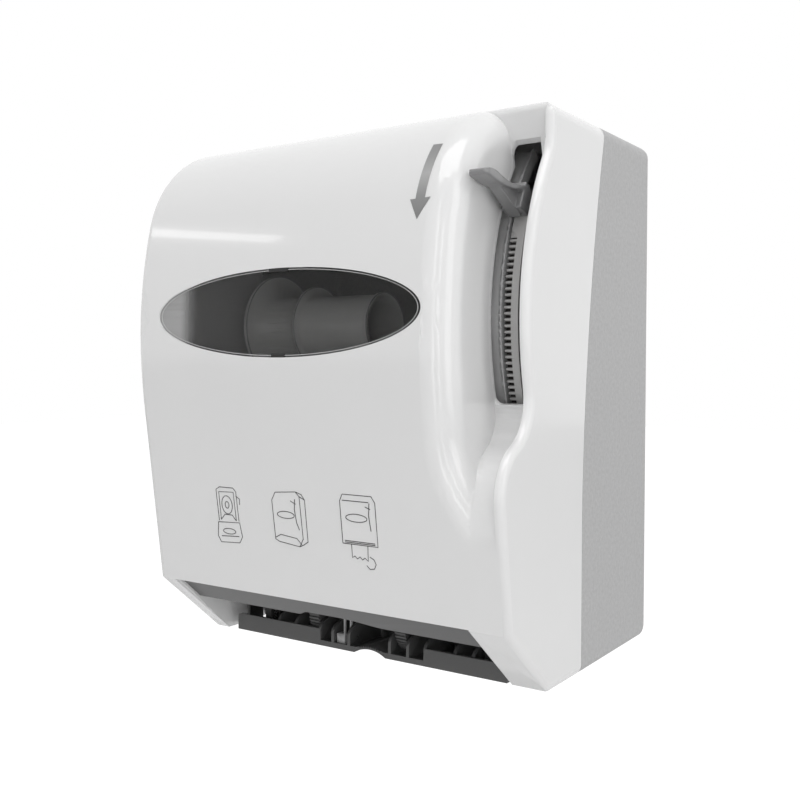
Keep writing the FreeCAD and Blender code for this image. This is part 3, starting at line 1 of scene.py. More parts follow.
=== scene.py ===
import bpy
import json
import math
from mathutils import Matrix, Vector

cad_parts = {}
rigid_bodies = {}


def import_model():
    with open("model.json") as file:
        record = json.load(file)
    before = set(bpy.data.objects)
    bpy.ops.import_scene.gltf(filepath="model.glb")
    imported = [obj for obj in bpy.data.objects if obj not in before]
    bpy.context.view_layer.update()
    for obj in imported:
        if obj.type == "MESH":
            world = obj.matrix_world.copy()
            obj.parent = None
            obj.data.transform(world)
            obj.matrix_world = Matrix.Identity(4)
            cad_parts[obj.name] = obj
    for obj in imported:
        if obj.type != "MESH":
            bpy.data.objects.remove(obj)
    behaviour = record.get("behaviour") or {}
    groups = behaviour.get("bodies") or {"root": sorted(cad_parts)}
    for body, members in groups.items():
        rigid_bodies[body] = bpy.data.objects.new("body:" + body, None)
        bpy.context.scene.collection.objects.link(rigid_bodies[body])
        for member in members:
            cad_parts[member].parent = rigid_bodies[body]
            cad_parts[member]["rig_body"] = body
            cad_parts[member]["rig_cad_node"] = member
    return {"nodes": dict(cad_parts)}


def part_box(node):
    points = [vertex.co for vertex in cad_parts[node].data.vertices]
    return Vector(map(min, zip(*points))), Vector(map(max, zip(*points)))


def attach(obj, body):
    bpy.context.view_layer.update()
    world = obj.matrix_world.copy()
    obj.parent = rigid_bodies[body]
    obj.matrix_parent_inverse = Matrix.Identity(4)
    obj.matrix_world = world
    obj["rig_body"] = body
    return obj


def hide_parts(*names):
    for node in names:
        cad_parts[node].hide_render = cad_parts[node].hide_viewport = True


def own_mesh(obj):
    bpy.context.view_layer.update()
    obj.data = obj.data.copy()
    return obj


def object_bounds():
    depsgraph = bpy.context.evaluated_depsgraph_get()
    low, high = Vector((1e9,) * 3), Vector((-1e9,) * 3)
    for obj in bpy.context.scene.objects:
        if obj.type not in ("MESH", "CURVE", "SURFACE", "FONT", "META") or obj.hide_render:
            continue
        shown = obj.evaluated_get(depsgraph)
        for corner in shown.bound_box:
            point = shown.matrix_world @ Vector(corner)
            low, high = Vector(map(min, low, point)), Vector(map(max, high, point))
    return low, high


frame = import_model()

cadLow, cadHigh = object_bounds()
nodes = frame["nodes"]
scene = bpy.context.scene
millimetre = 0.001
quarterTurn = math.radians(90.0)
print("frame loaded:", len(nodes), "nodes")


# small helpers for shader trees

def feed(tree, socket, value):
    # the value is a node's output, or a plain number, colour or vector
    if isinstance(value, bpy.types.NodeSocket):
        tree.links.new(value, socket)
    else:
        socket.default_value = value


def addNode(tree, kind, inputs, operation=None):
    node = tree.nodes.new(kind)
    if operation:
        node.operation = operation
    for label, value in inputs.items():
        feed(tree, node.inputs[label], value)
    return node


def newGroup(name, inputs, outputs):
    group = bpy.data.node_groups.new(name, "ShaderNodeTree")
    for direction, sockets in (("INPUT", inputs), ("OUTPUT", outputs)):
        for label, kind in sockets.items():
            group.interface.new_socket(name=label, in_out=direction, socket_type="NodeSocket" + kind)
    return group, group.nodes.new("NodeGroupInput").outputs, group.nodes.new("NodeGroupOutput").inputs


def varyFinish(group, given, result, factor):
    # colour and roughness rise and fall together
    tint = addNode(group, "ShaderNodeVectorMath", {0: given["Color"], "Scale": factor}, "SCALE")
    rough = addNode(group, "ShaderNodeMath", {0: given["Roughness"], 1: factor}, "MULTIPLY")
    feed(group, result["Color"], tint.outputs[0])
    feed(group, result["Roughness"], rough.outputs[0])


finishOutputs = {"Color": "Color", "Roughness": "Float", "Height": "Float"}

# moulded plastic: fine grain for the bump, and a broad mottle in colour and roughness
mouldedGrainForm = dict(grainDetail=3.0, mottleDetail=5.0, mottleRoughness=0.65, mottleMiddle=0.5)


def mouldedGrainGroup():
    group, given, result = newGroup("mouldedGrain", {
        "Vector": "Vector", "Grain Size": "Float", "Mottle Size": "Float", "Mottle": "Float",
        "Color": "Color", "Roughness": "Float"}, finishOutputs)
    form = mouldedGrainForm
    grain = addNode(group, "ShaderNodeTexNoise", {
        "Vector": given["Vector"], "Scale": given["Grain Size"], "Detail": form["grainDetail"]})
    mottle = addNode(group, "ShaderNodeTexNoise", {
        "Vector": given["Vector"], "Scale": given["Mottle Size"],
        "Detail": form["mottleDetail"], "Roughness": form["mottleRoughness"]})
    centred = addNode(group, "ShaderNodeMath", {
        0: mottle.outputs["Fac"], 1: form["mottleMiddle"]}, "SUBTRACT")
    swing = addNode(group, "ShaderNodeMath", {0: centred.outputs[0], 1: given["Mottle"]}, "MULTIPLY")
    factor = addNode(group, "ShaderNodeMath", {0: swing.outputs[0], 1: 1.0}, "ADD")
    varyFinish(group, given, result, factor.outputs[0])
    feed(group, result["Height"], grain.outputs["Fac"])
    return group


# metal: streaks that run along the sheet
drawnMetalForm = dict(stretch=(0.06, 1.0, 1.0), detail=4.0, darkest=0.86, lightest=1.12)


def drawnMetalGroup():
    group, given, result = newGroup("drawnMetal", {
        "Vector": "Vector", "Streak Size": "Float", "Color": "Color", "Roughness": "Float"}, finishOutputs)
    form = drawnMetalForm
    stretch = addNode(group, "ShaderNodeMapping", {"Vector": given["Vector"], "Scale": form["stretch"]})
    streak = addNode(group, "ShaderNodeTexNoise", {
        "Vector": stretch.outputs[0], "Scale": given["Streak Size"], "Detail": form["detail"]})
    factor = addNode(group, "ShaderNodeMapRange", {
        "Value": streak.outputs["Fac"], "To Min": form["darkest"], "To Max": form["lightest"]})
    varyFinish(group, given, result, factor.outputs[0])
    feed(group, result["Height"], streak.outputs["Fac"])
    return group


mouldedGrain = mouldedGrainGroup()
drawnMetal = drawnMetalGroup()
print("shader groups ready")


# materials

def newMaterial(name):
    material = bpy.data.materials.new(name)
    material.use_nodes = True
    tree = material.node_tree
    return material, tree, tree.nodes["Principled BSDF"]


def objectPlace(tree):
    return tree.nodes.new("ShaderNodeTexCoord").outputs["Object"]


def addBump(tree, shader, height, strength, depth):
    bump = addNode(tree, "ShaderNodeBump", {"Height": height, "Strength": strength, "Distance": depth})
    feed(tree, shader.inputs["Normal"], bump.outputs["Normal"])


def addSpeck(tree, shader, place, look):
    speck = addNode(tree, "ShaderNodeTexNoise", {"Vector": place, "Scale": look["speckSize"]})
    addBump(tree, shader, speck.outputs["Fac"], look["speckStrength"], look["speckDepth"])


def addEffect(tree, shader, group, look, inputs):
    effect = tree.nodes.new("ShaderNodeGroup")
    effect.node_tree = group
    feed(tree, effect.inputs["Vector"], objectPlace(tree))
    feed(tree, effect.inputs["Color"], (*look["color"], 1.0))
    feed(tree, effect.inputs["Roughness"], look["roughness"])
    for label, value in inputs.items():
        feed(tree, effect.inputs[label], value)
    feed(tree, shader.inputs["Base Color"], effect.outputs["Color"])
    feed(tree, shader.inputs["Roughness"], effect.outputs["Roughness"])
    return effect


def fillRamp(ramp, stops):
    # stops are pairs of a place and a colour, from low to high
    elements = ramp.color_ramp.elements
    for element, (place, color) in zip(elements, (stops[0], stops[-1])):
        element.position = place
        element.color = (*color, 1.0)
    for place, color in stops[1:-1]:
        elements.new(place).color = (*color, 1.0)


plasticBase = dict(refraction=1.5, coatRoughness=0.05, grainDepth=0.0002)


def plastic(name, look):
    material, tree, shader = newMaterial(name)
    effect = addEffect(tree, shader, mouldedGrain, look, {
        "Grain Size": look["grainSize"], "Mottle Size": look["mottleSize"], "Mottle": look["mottle"]})
    shader.inputs["IOR"].default_value = plasticBase["refraction"]
    shader.inputs["Coat Weight"].default_value = look.get("coat", 0.0)
    shader.inputs["Coat Roughness"].default_value = plasticBase["coatRoughness"]
    addBump(tree, shader, effect.outputs["Height"], look["grainStrength"], plasticBase["grainDepth"])
    return material


metalBase = dict(metallic=1.0, streakDepth=0.0001)


def metal(name, look):
    material, tree, shader = newMaterial(name)
    effect = addEffect(tree, shader, drawnMetal, look, {"Streak Size": look["streakSize"]})
    shader.inputs["Metallic"].default_value = metalBase["metallic"]
    addBump(tree, shader, effect.outputs["Height"], look["streakStrength"], metalBase["streakDepth"])
    return material


# a dark see-through tint; towards the left end of the window it turns a painted light grey that stands in for
# the lit inner wall seen through it
windowLook = dict(color=(0.012, 0.012, 0.012), litWallGrey=(0.42, 0.42, 0.42), roughness=0.05,
                  clear=0.10, dense=0.15, hazeSize=14.0, litWallEnd=-0.106, litWallStart=-0.086, litWallDense=0.58,
                  coat=0.6, coatRoughness=0.02)


def smokedWindow(name, look):
    material, tree, shader = newMaterial(name)
    place = objectPlace(tree)
    haze = addNode(tree, "ShaderNodeTexNoise", {"Vector": place, "Scale": look["hazeSize"]})
    density = addNode(tree, "ShaderNodeMapRange", {
        "Value": haze.outputs["Fac"], "To Min": look["clear"], "To Max": look["dense"]})
    across = addNode(tree, "ShaderNodeSeparateXYZ", {0: place}).outputs["X"]
    # painted light: towards the left end the lens turns light grey and less clear, standing in for the lit
    # inner wall behind it
    litWallShare = addNode(tree, "ShaderNodeMapRange", {
        "Value": across, "From Min": look["litWallEnd"], "From Max": look["litWallStart"],
        "To Min": 1.0, "To Max": 0.0})
    litWallShare.interpolation_type = "SMOOTHSTEP"
    cover = addNode(tree, "ShaderNodeMath", {
        0: litWallShare.outputs[0], 1: look["litWallDense"], 2: density.outputs[0]}, "MULTIPLY_ADD")
    tint = tree.nodes.new("ShaderNodeMix")
    tint.data_type = "RGBA"
    feed(tree, tint.inputs["Factor"], litWallShare.outputs[0])
    feed(tree, tint.inputs["A"], (*look["color"], 1.0))
    feed(tree, tint.inputs["B"], (*look["litWallGrey"], 1.0))
    feed(tree, shader.inputs["Base Color"], tint.outputs["Result"])
    feed(tree, shader.inputs["Alpha"], cover.outputs[0])
    shader.inputs["Roughness"].default_value = look["roughness"]
    shader.inputs["Coat Weight"].default_value = look["coat"]
    shader.inputs["Coat Roughness"].default_value = look["coatRoughness"]
    return material


# the arrow's silver print, whose shades are pairs of a share of its height and a grey; the lighter band
# across it is a painted reflection of the silver ink
silverLook = dict(low=0.1085, high=0.156,
                  paintedSheenShades=((0.0, 0.20), (0.30, 0.27), (0.60, 0.42), (0.85, 0.29), (1.0, 0.25)),
                  roughness=0.4, speckSize=2000.0, speckStrength=0.1, speckDepth=0.0001)


def silverPrint(name, look):
    material, tree, shader = newMaterial(name)
    place = objectPlace(tree)
    height = addNode(tree, "ShaderNodeSeparateXYZ", {0: place}).outputs["Z"]
    spread = addNode(tree, "ShaderNodeMapRange", {
        "Value": height, "From Min": look["low"], "From Max": look["high"]})
    # painted reflection: the grey brightens to a band at 0.6 of the height and falls off above and below
    ramp = addNode(tree, "ShaderNodeValToRGB", {"Fac": spread.outputs[0]})
    fillRamp(ramp, [(at, (shade, shade, shade)) for at, shade in look["paintedSheenShades"]])
    feed(tree, shader.inputs["Base Color"], ramp.outputs["Color"])
    shader.inputs["Roughness"].default_value = look["roughness"]
    addSpeck(tree, shader, place, look)
    return material


# painted shade in the roots of the teeth and a painted highlight on their tips, by the reach from the lever's
# pivot
toothedLook = dict(pivot=(-0.013, 0.0495), root=0.160, tip=0.1685,
                   web=(0.24, 0.235, 0.23), paintedRootShade=(0.030, 0.025, 0.022), paintedTipLight=(0.46, 0.455, 0.45),
                   rootShadeFrom=0.55, rootShadeTo=0.76, tipLightFrom=0.96,
                   roughness=0.35, speckSize=900.0, speckStrength=0.15, speckDepth=0.0002)


def toothedPlastic(name, look):
    material, tree, shader = newMaterial(name)
    place = objectPlace(tree)
    depth, height = look["pivot"]
    arm = addNode(tree, "ShaderNodeVectorMath", {
        0: place, 1: (0.0, 1.0, 1.0), 2: (0.0, -depth, -height)}, "MULTIPLY_ADD")
    reach = addNode(tree, "ShaderNodeVectorMath", {0: arm.outputs[0]}, "LENGTH")
    spread = addNode(tree, "ShaderNodeMapRange", {
        "Value": reach.outputs["Value"], "From Min": look["root"], "From Max": look["tip"]})
    # painted light and shade: dark where the roots lie deep in shade, light where the tips catch the light
    rootAndTipLight = addNode(tree, "ShaderNodeValToRGB", {"Fac": spread.outputs[0]})
    fillRamp(rootAndTipLight, [(0.0, look["web"]), (look["rootShadeFrom"], look["paintedRootShade"]),
                    (look["rootShadeTo"], look["paintedRootShade"]), (look["tipLightFrom"], look["paintedTipLight"])])
    feed(tree, shader.inputs["Base Color"], rootAndTipLight.outputs["Color"])
    shader.inputs["Roughness"].default_value = look["roughness"]
    addSpeck(tree, shader, place, look)
    return material


plasticLooks = {
    "coverWhite": dict(color=(0.79, 0.79, 0.79), roughness=0.15, coat=0.6, grainSize=240.0,
                       grainStrength=0.02, mottleSize=9.0, mottle=0.03),
    "caseGrey": dict(color=(0.455, 0.455, 0.457), roughness=0.55, grainSize=1400.0,
                     grainStrength=0.35, mottleSize=380.0, mottle=0.62),
    "leverGrey": dict(color=(0.23, 0.23, 0.232), roughness=0.26, coat=0.4, grainSize=900.0,
                      grainStrength=0.06, mottleSize=40.0, mottle=0.06),
    "guideGrey": dict(color=(0.52, 0.52, 0.522), roughness=0.32, grainSize=900.0,
                      grainStrength=0.08, mottleSize=40.0, mottle=0.06),
    "chassisGrey": dict(color=(0.088, 0.088, 0.088), roughness=0.42, grainSize=900.0,
                        grainStrength=0.12, mottleSize=40.0, mottle=0.08),
    "lipGrey": dict(color=(0.075, 0.075, 0.076), roughness=0.30, grainSize=900.0,
                    grainStrength=0.08, mottleSize=30.0, mottle=0.06),
    "holderGrey": dict(color=(0.50, 0.50, 0.502), roughness=0.32, grainSize=900.0,
                       grainStrength=0.08, mottleSize=30.0, mottle=0.06),
    "hubWhite": dict(color=(0.80, 0.80, 0.79), roughness=0.30, grainSize=900.0,
                     grainStrength=0.06, mottleSize=30.0, mottle=0.06),
    "gearWhite": dict(color=(0.62, 0.61, 0.58), roughness=0.42, grainSize=900.0,
                      grainStrength=0.08, mottleSize=40.0, mottle=0.05),
    # light grey: on the window bead a painted highlight along the window's rim, on the hub's edge rings the
    # rings' own grey
    "rimGreyAndPaintedHighlight": dict(color=(0.50, 0.50, 0.50), roughness=0.10, coat=0.6, grainSize=900.0,
                     grainStrength=0.02, mottleSize=60.0, mottle=0.1),
    "printInk": dict(color=(0.03, 0.03, 0.031), roughness=0.45, grainSize=900.0,
                     grainStrength=0.02, mottleSize=300.0, mottle=0.3),
    "rollerRubber": dict(color=(0.022, 0.022, 0.022), roughness=0.75, grainSize=1200.0,
                         grainStrength=0.3, mottleSize=50.0, mottle=0.2),
}
metalLooks = {
    "sheetSteel": dict(color=(0.55, 0.56, 0.57), roughness=0.34, streakSize=500.0, streakStrength=0.05),
    "brightSteel": dict(color=(0.66, 0.66, 0.67), roughness=0.20, streakSize=900.0, streakStrength=0.03),
    "springSteel": dict(color=(0.42, 0.42, 0.43), roughness=0.30, streakSize=1200.0, streakStrength=0.05),
    "lockPlating": dict(color=(0.72, 0.72, 0.73), roughness=0.12, streakSize=700.0, streakStrength=0.02),
}

finishes = {name: plastic(name, look) for name, look in plasticLooks.items()}
finishes.update({name: metal(name, look) for name, look in metalLooks.items()})
finishes["smokedWindow"] = smokedWindow("smokedWindow", windowLook)
finishes["silverPrint"] = silverPrint("silverPrint", silverLook)
finishes["toothedGrey"] = toothedPlastic("toothedGrey", toothedLook)
print("materials:", len(finishes))


# every node's finish, and smooth copies that stand for the solids

nodeFinish = {
    "front_cover": "coverWhite", "window_lens": "smokedWindow", "rear_case": "caseGrey",
    "lock_housing": "lockPlating", "lock_plug": "lockPlating", "lock_cam": "sheetSteel",
    "lock_keeper": "sheetSteel", "hinge_pins": "brightSteel",
    "inner_drive_plate": "sheetSteel", "outer_drive_plate": "sheetSteel", "left_side_plate": "caseGrey",
    "lever_guide": "guideGrey", "sector_gear": "toothedGrey", "lever_handle": "leverGrey",
    "lever_pivot_pin": "brightSteel", "lever_spring": "springSteel",
    "drive_pinion": "gearWhite", "pinion_axle": "brightSteel", "idler_gear": "gearWhite",
    "idler_axle": "brightSteel", "roller_gear": "gearWhite", "feed_shaft": "brightSteel",
    "feed_roller_core": "lipGrey", "feed_roller_sleeves": "rollerRubber", "feed_bushes": "gearWhite",
    "pinch_axle": "brightSteel", "pinch_wheels": "chassisGrey", "pinch_springs": "springSteel",
    "exit_frame": "chassisGrey", "front_lip": "lipGrey", "tear_blade": "brightSteel",
    "stripper_fingers": "holderGrey", "roll_arm": "hubWhite", "left_hub": "hubWhite",
    "right_hub": "hubWhite", "right_hub_axle": "hubWhite", "roll_arm_pin": "brightSteel",
    "roll_arm_spring": "springSteel", "frame_screws": "brightSteel", "retaining_clips": "brightSteel",
}
woundNodes = ("pinch_springs", "lever_spring", "roll_arm_spring")   # replaced by wound wire further down
copyForm = dict(mergeGap=0.004, smoothAngle=28.0)
pieces = {}


def pickNone():
    bpy.ops.object.select_all(action="DESELECT")


def pickOnly(piece):
    pickNone()
    piece.select_set(True)
    bpy.context.view_layer.objects.active = piece


def paint(piece, finish):
    piece.data.materials.clear()
    piece.data.materials.append(finishes[finish])


def smoothCopy(node):
    source = nodes[node]
    pickOnly(source)
    bpy.ops.object.duplicate()
    piece = bpy.context.object
    piece.parent = None
    piece.name = node + "_finished"
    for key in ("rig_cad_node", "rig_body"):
        if key in piece:
            del piece[key]
    bpy.ops.object.mode_set(mode="EDIT")
    bpy.ops.mesh.select_all(action="SELECT")
    bpy.ops.mesh.remove_doubles(threshold=copyForm["mergeGap"] * millimetre)
    bpy.ops.object.mode_set(mode="OBJECT")
    bpy.ops.object.shade_smooth_by_angle(angle=math.radians(copyForm["smoothAngle"]))
    weighted = piece.modifiers.new("weighted", "WEIGHTED_NORMAL")
    weighted.keep_sharp = True
    bpy.ops.object.modifier_apply(modifier=weighted.name)
    body = source["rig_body"]
    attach(piece, body)
    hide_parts(node)
    return piece


def finishPiece(piece, name, finish, body):
    piece.name = name
    pickOnly(piece)
    bpy.ops.object.transform_apply(location=True, rotation=True, scale=True)
    paint(piece, finish)
    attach(piece, body)
    pieces[name] = piece
    return piece


for node, finish in nodeFinish.items():
    paint(nodes[node], finish)
    if node not in woundNodes:
        pieces[node] = smoothCopy(node)
        paint(pieces[node], finish)
print("smooth copies:", len(pieces))


# the front of the cover, in millimetres: depths from the wall, heights from the lower edge
# it leans straight up to leanStart, bulges on a large arc to browStart, and turns over on a small one
frontForm = dict(centre=(-107.0, 226.0), radius=350.0, browCentre=(150.2, 290.0), browRadius=85.0,
                 browStart=310.5, leanStart=182.13, leanTop=240.24, lean=math.radians(7.2), middle=187.5,
                 nearFront=0.06, faceAgreement=0.995, cornerAgreement=0.95)


def frontDepth(height):
    if height > frontForm["browStart"]:
        rise = height - frontForm["browCentre"][1]
        return frontForm["browCentre"][0] + math.sqrt(max(frontForm["browRadius"] ** 2 - rise ** 2, 0.0))
    if height > frontForm["leanStart"]:
        rise = height - frontForm["centre"][1]
        return frontForm["centre"][0] + math.sqrt(frontForm["radius"] ** 2 - rise ** 2)
    return frontForm["leanTop"] - (frontForm["leanStart"] - height) * math.tan(frontForm["lean"])


def frontNormal(height):
    if height <= frontForm["leanStart"]:
        return Vector((0.0, -math.cos(frontForm["lean"]), -math.sin(frontForm["lean"])))
    centre = frontForm["browCentre"] if height > frontForm["browStart"] else frontForm["centre"]
    return Vector((0.0, centre[0] - frontDepth(height), height - centre[1])).normalized()


def heightOf(place):
    return place.z / millimetre + frontForm["middle"]


def frontPlace(across, depth, height):
    return Vector((across, -depth, height - frontForm["middle"])) * millimetre


def evenFront(piece):
    # corners on the plain front get its exact normals, so that long thin faces don't show in a gloss
    mesh = piece.data
    normals = [Vector(entry.vector) for entry in mesh.corner_normals]
    onFront = []
    for vertex in mesh.vertices:
        gap = -vertex.co.y / millimetre - frontDepth(heightOf(vertex.co))
        onFront.append(abs(gap) < frontForm["nearFront"])
    for face in mesh.polygons:
        plain = all(onFront[index] for index in face.vertices)
        plain = plain and face.normal.dot(frontNormal(heightOf(face.center))) > frontForm["faceAgreement"]
        for corner in face.loop_indices:
            index = mesh.loops[corner].vertex_index
            exact = frontNormal(heightOf(mesh.vertices[index].co))
            if onFront[index] and (plain or normals[corner].dot(exact) > frontForm["cornerAgreement"]):
                normals[corner] = exact
    mesh.normals_split_custom_set(normals)


# the oval window, its bead and its clips, in millimetres
windowForm = dict(centre=(-17.0, 244.0), half=(115.0, 31.0), finishedCentre=(-12.7, 242.8),
                  finishedHalf=(112.5, 29.5), rimReach=3.0, rimMargin=0.03, middleShare=0.2,
                  coverReach=3.4, lensReach=2.2, trimSink=0.9)
beadForm = dict(inset=(2.4, 1.3), width=0.30, turns=160, sides=8, ringWidth=0.02)
clipForm = dict(top=(-14.0, 17.0), low=(-12.5, 12.0), height=2.4, depth=1.0, gap=0.1,
                softEdge=0.25, softSteps=2)   # top and low are each a place across and a width


def fitWindow(piece, depthReach):
    # the rim of the opening slides along the front to its finished oval
    form = windowForm
    rimEnd = 1.0 + form["rimReach"] / form["half"][1] + form["rimMargin"]
    for vertex in piece.data.vertices:
        height = heightOf(vertex.co)
        inset = frontDepth(height) + vertex.co.y / millimetre
        across = (vertex.co.x / millimetre - form["centre"][0]) / form["half"][0]
        up = (height - form["centre"][1]) / form["half"][1]
        reach = math.hypot(across, up)
        if reach > rimEnd or inset > depthReach:
            continue
        if reach > 1.0 and abs(across) < form["middleShare"]:
            up = math.copysign(math.sqrt(1.0 - across ** 2), up)
        newAcross = form["finishedCentre"][0] + across * form["finishedHalf"][0]
        newHeight = form["finishedCentre"][1] + up * form["finishedHalf"][1]
        vertex.co = frontPlace(newAcross, frontDepth(newHeight) - inset, newHeight)


def addBead():
    centre = windowForm["finishedCentre"]
    half = [windowForm["finishedHalf"][side] - beadForm["inset"][side] for side in (0, 1)]
    pickNone()
    bpy.ops.mesh.primitive_torus_add(major_radius=1.0, minor_radius=beadForm["ringWidth"],
                                     major_segments=beadForm["turns"], minor_segments=beadForm["sides"],
                                     rotation=(quarterTurn, 0.0, 0.0))
    bead = bpy.context.object
    bpy.ops.object.transform_apply(rotation=True)
    swell = beadForm["width"] / beadForm["ringWidth"]
    for vertex in bead.data.vertices:
        ring = Vector((vertex.co.x, 0.0, vertex.co.z)).normalized()
        off = (math.hypot(vertex.co.x, vertex.co.z) - 1.0) * swell
        across = centre[0] + ring.x * (half[0] + off)
        height = centre[1] + ring.z * (half[1] + off)
        depth = frontDepth(height) - windowForm["trimSink"] - vertex.co.y * swell
        vertex.co = frontPlace(across, depth, height)
    bpy.ops.object.shade_smooth()
    # the bead's light grey is a painted highlight along the window's rim, over the real gloss of its coat
    finishPiece(bead, "window_bead", "rimGreyAndPaintedHighlight", "cover")


def addClip(name, across, width, side):
    edge = windowForm["finishedHalf"][1] - clipForm["height"] / 2 - clipForm["gap"]
    height = windowForm["finishedCentre"][1] + side * edge
    depth = frontDepth(height) - windowForm["trimSink"]
    pickNone()
    bpy.ops.mesh.primitive_cube_add(size=1.0, location=frontPlace(across, depth, height))
    clip = bpy.context.object
    clip.scale = Vector((width, clipForm["depth"], clipForm["height"])) * millimetre
    bpy.ops.object.transform_apply(location=True, rotation=True, scale=True)
    bevel = clip.modifiers.new("softEdges", "BEVEL")
    bevel.width = clipForm["softEdge"] * millimetre
    bevel.segments = clipForm["softSteps"]
    bpy.ops.object.modifier_apply(modifier=bevel.name)
    finishPiece(clip, name, "rollerRubber", "cover")


fitWindow(pieces["front_cover"], windowForm["coverReach"])
fitWindow(pieces["window_lens"], windowForm["lensReach"])
evenFront(pieces["front_cover"])
evenFront(pieces["window_lens"])
addBead()
addClip("window_clip_top", *clipForm["top"], 1)
addClip("window_clip_low", *clipForm["low"], -1)
print("window ready")


# the printed arrow's shaft and head, with their corners clockwise as (across, height) in millimetres
arrowForm = dict(shaft=((98.8, 343.8), (96.7, 308.98), (90.0, 308.83), (92.0, 344.0)),
                 head=((100.6, 309.1), (92.7, 296.0), (86.1, 308.7)),
                 gridWidth=30.0, rows=48, lift=0.01, thick=0.12)


def clippedGrid(corners, rows):
    # a fine upright grid, cut along each side of a convex outline
    low = min(corner[1] for corner in corners)
    high = max(corner[1] for corner in corners)
    middle = sum(corner[0] for corner in corners) / len(corners)
    pickNone()
    bpy.ops.mesh.primitive_grid_add(x_subdivisions=2, y_subdivisions=rows, size=1.0)
    grid = bpy.context.object
    grid.rotation_euler = (quarterTurn, 0.0, 0.0)
    grid.scale = Vector((arrowForm["gridWidth"], high - low, 1.0)) * millimetre
    grid.location = frontPlace(middle, 0.0, (low + high) / 2)
    bpy.ops.object.transform_apply(location=True, rotation=True, scale=True)
    bpy.ops.object.mode_set(mode="EDIT")
    for index, corner in enumerate(corners):
        following = corners[(index + 1) % len(corners)]
        along = Vector((following[0] - corner[0], 0.0, following[1] - corner[1]))
        outward = Vector((-along.z, 0.0, along.x)).normalized()
        bpy.ops.mesh.select_all(action="SELECT")
        bpy.ops.mesh.bisect(plane_co=frontPlace(corner[0], 0.0, corner[1]), plane_no=outward,
                            clear_inner=False, clear_outer=True)
    bpy.ops.object.mode_set(mode="OBJECT")
    return grid


def layOnFront(piece, lift):
    for vertex in piece.data.vertices:
        vertex.co.y = -(frontDepth(heightOf(vertex.co)) + lift) * millimetre


def addArrow():
    arrow = clippedGrid(arrowForm["shaft"], arrowForm["rows"])
    head = clippedGrid(arrowForm["head"], arrowForm["rows"])
    pickOnly(arrow)
    head.select_set(True)
    bpy.ops.object.join()
    layOnFront(arrow, arrowForm["lift"])
    wall = arrow.modifiers.new("printDepth", "SOLIDIFY")
    wall.thickness = arrowForm["thick"] * millimetre
    wall.offset = 1.0
    pickOnly(arrow)
    bpy.ops.object.modifier_apply(modifier=wall.name)
    finishPiece(arrow, "push_arrow", "silverPrint", "cover")


# three plain drawings of loading, closing and tearing off, as lines of (across, height) in millimetres
pictureLook = dict(lineWidth=0.62, ovalSteps=24)


def oval(across, height, halfWidth, halfHeight):
    steps = pictureLook["ovalSteps"]
    turns = [math.radians(360.0 * step / steps) for step in range(steps + 1)]
    return [(across + halfWidth * math.cos(turn), height + halfHeight * math.sin(turn)) for turn in turns]


loadingPictures = {
    "picture_open": [
        [(-79, 98), (-79.5, 120.5), (-76, 122.5), (-63, 122.5), (-60.5, 120), (-60, 99)],
        [(-77, 99), (-77, 119), (-63, 119.5), (-62.5, 99)],
        oval(-70, 110, 5.0, 6.5),
        oval(-70, 110, 1.8, 2.4),
        [(-80, 97), (-81.5, 87), (-79, 82.5), (-61, 83.5), (-58, 88), (-59.5, 98), (-80, 97)],
        oval(-70, 91, 6.0, 2.0),
        [(-78, 87), (-61, 88)],
        [(-61, 117), (-57.5, 115), (-58, 111)],
        [(-77, 99), (-73, 103), (-66, 103), (-62.5, 99)]],
    "picture_closed": [
        [(-27, 90), (-27.5, 117), (-24, 122.5), (-6, 124), (-3, 121), (-2.5, 92), (-6, 86.5),
         (-24, 88.5), (-27, 90)],
        [(-6, 124), (-1, 122.5), (1.5, 119), (1.5, 90.5), (-2.5, 88), (-6, 86.5)],
        oval(-16, 107.5, 7.5, 2.4),
        [(-7, 119), (-8, 112), (-7, 103), (-5, 98)],
        [(-11, 117.5), (-6.5, 115.5)],
        [(-27, 91), (-22, 93.5), (-8, 92), (-4, 88)],
        [(-3, 121), (1.5, 119)]],
    "picture_sheet": [
        [(31, 93), (31, 121), (33.5, 125.5), (56.5, 125.5), (59, 121.5), (59, 93), (31, 93)],
        [(33, 95), (57, 95)],
        [(33, 94), (57, 94)],
        [(33, 121.5), (54, 121.5)],
        oval(43.5, 110.5, 8.5, 2.6),
        [(54.5, 121), (53.5, 113), (54.5, 103)],
        [(51, 118.5), (55, 117)],
        [(38, 93), (38, 84), (40, 85.4), (42, 83.6), (44, 85.2), (46, 83.4), (48, 84.8),
         (50.5, 83), (51, 93)],
        [(52, 86), (55, 84.5), (56.5, 81.5), (55, 78.4), (51.5, 77.8), (49, 80)]],
}


def addPicture(name, lines):
    pickNone()
    bpy.ops.object.add(type="CURVE")
    picture = bpy.context.object
    picture.data.dimensions = "3D"
    picture.data.bevel_depth = pictureLook["lineWidth"] / 2 * millimetre
    picture.data.bevel_resolution = 0
    for line in lines:
        spline = picture.data.splines.new("POLY")
        spline.points.add(len(line) - 1)
        for point, (across, height) in zip(spline.points, line):
            point.co = (*frontPlace(across, frontDepth(height), height), 1.0)
    pickOnly(picture)
    bpy.ops.object.convert(target="MESH")
    finishPiece(bpy.context.object, name, "printInk", "cover")


addArrow()
for name, lines in loadingPictures.items():
    addPicture(name, lines)
print("prints ready")


# the push lever's moulded edges are softened all over
leverForm = dict(cell=0.42, passes=9, strength=0.55)


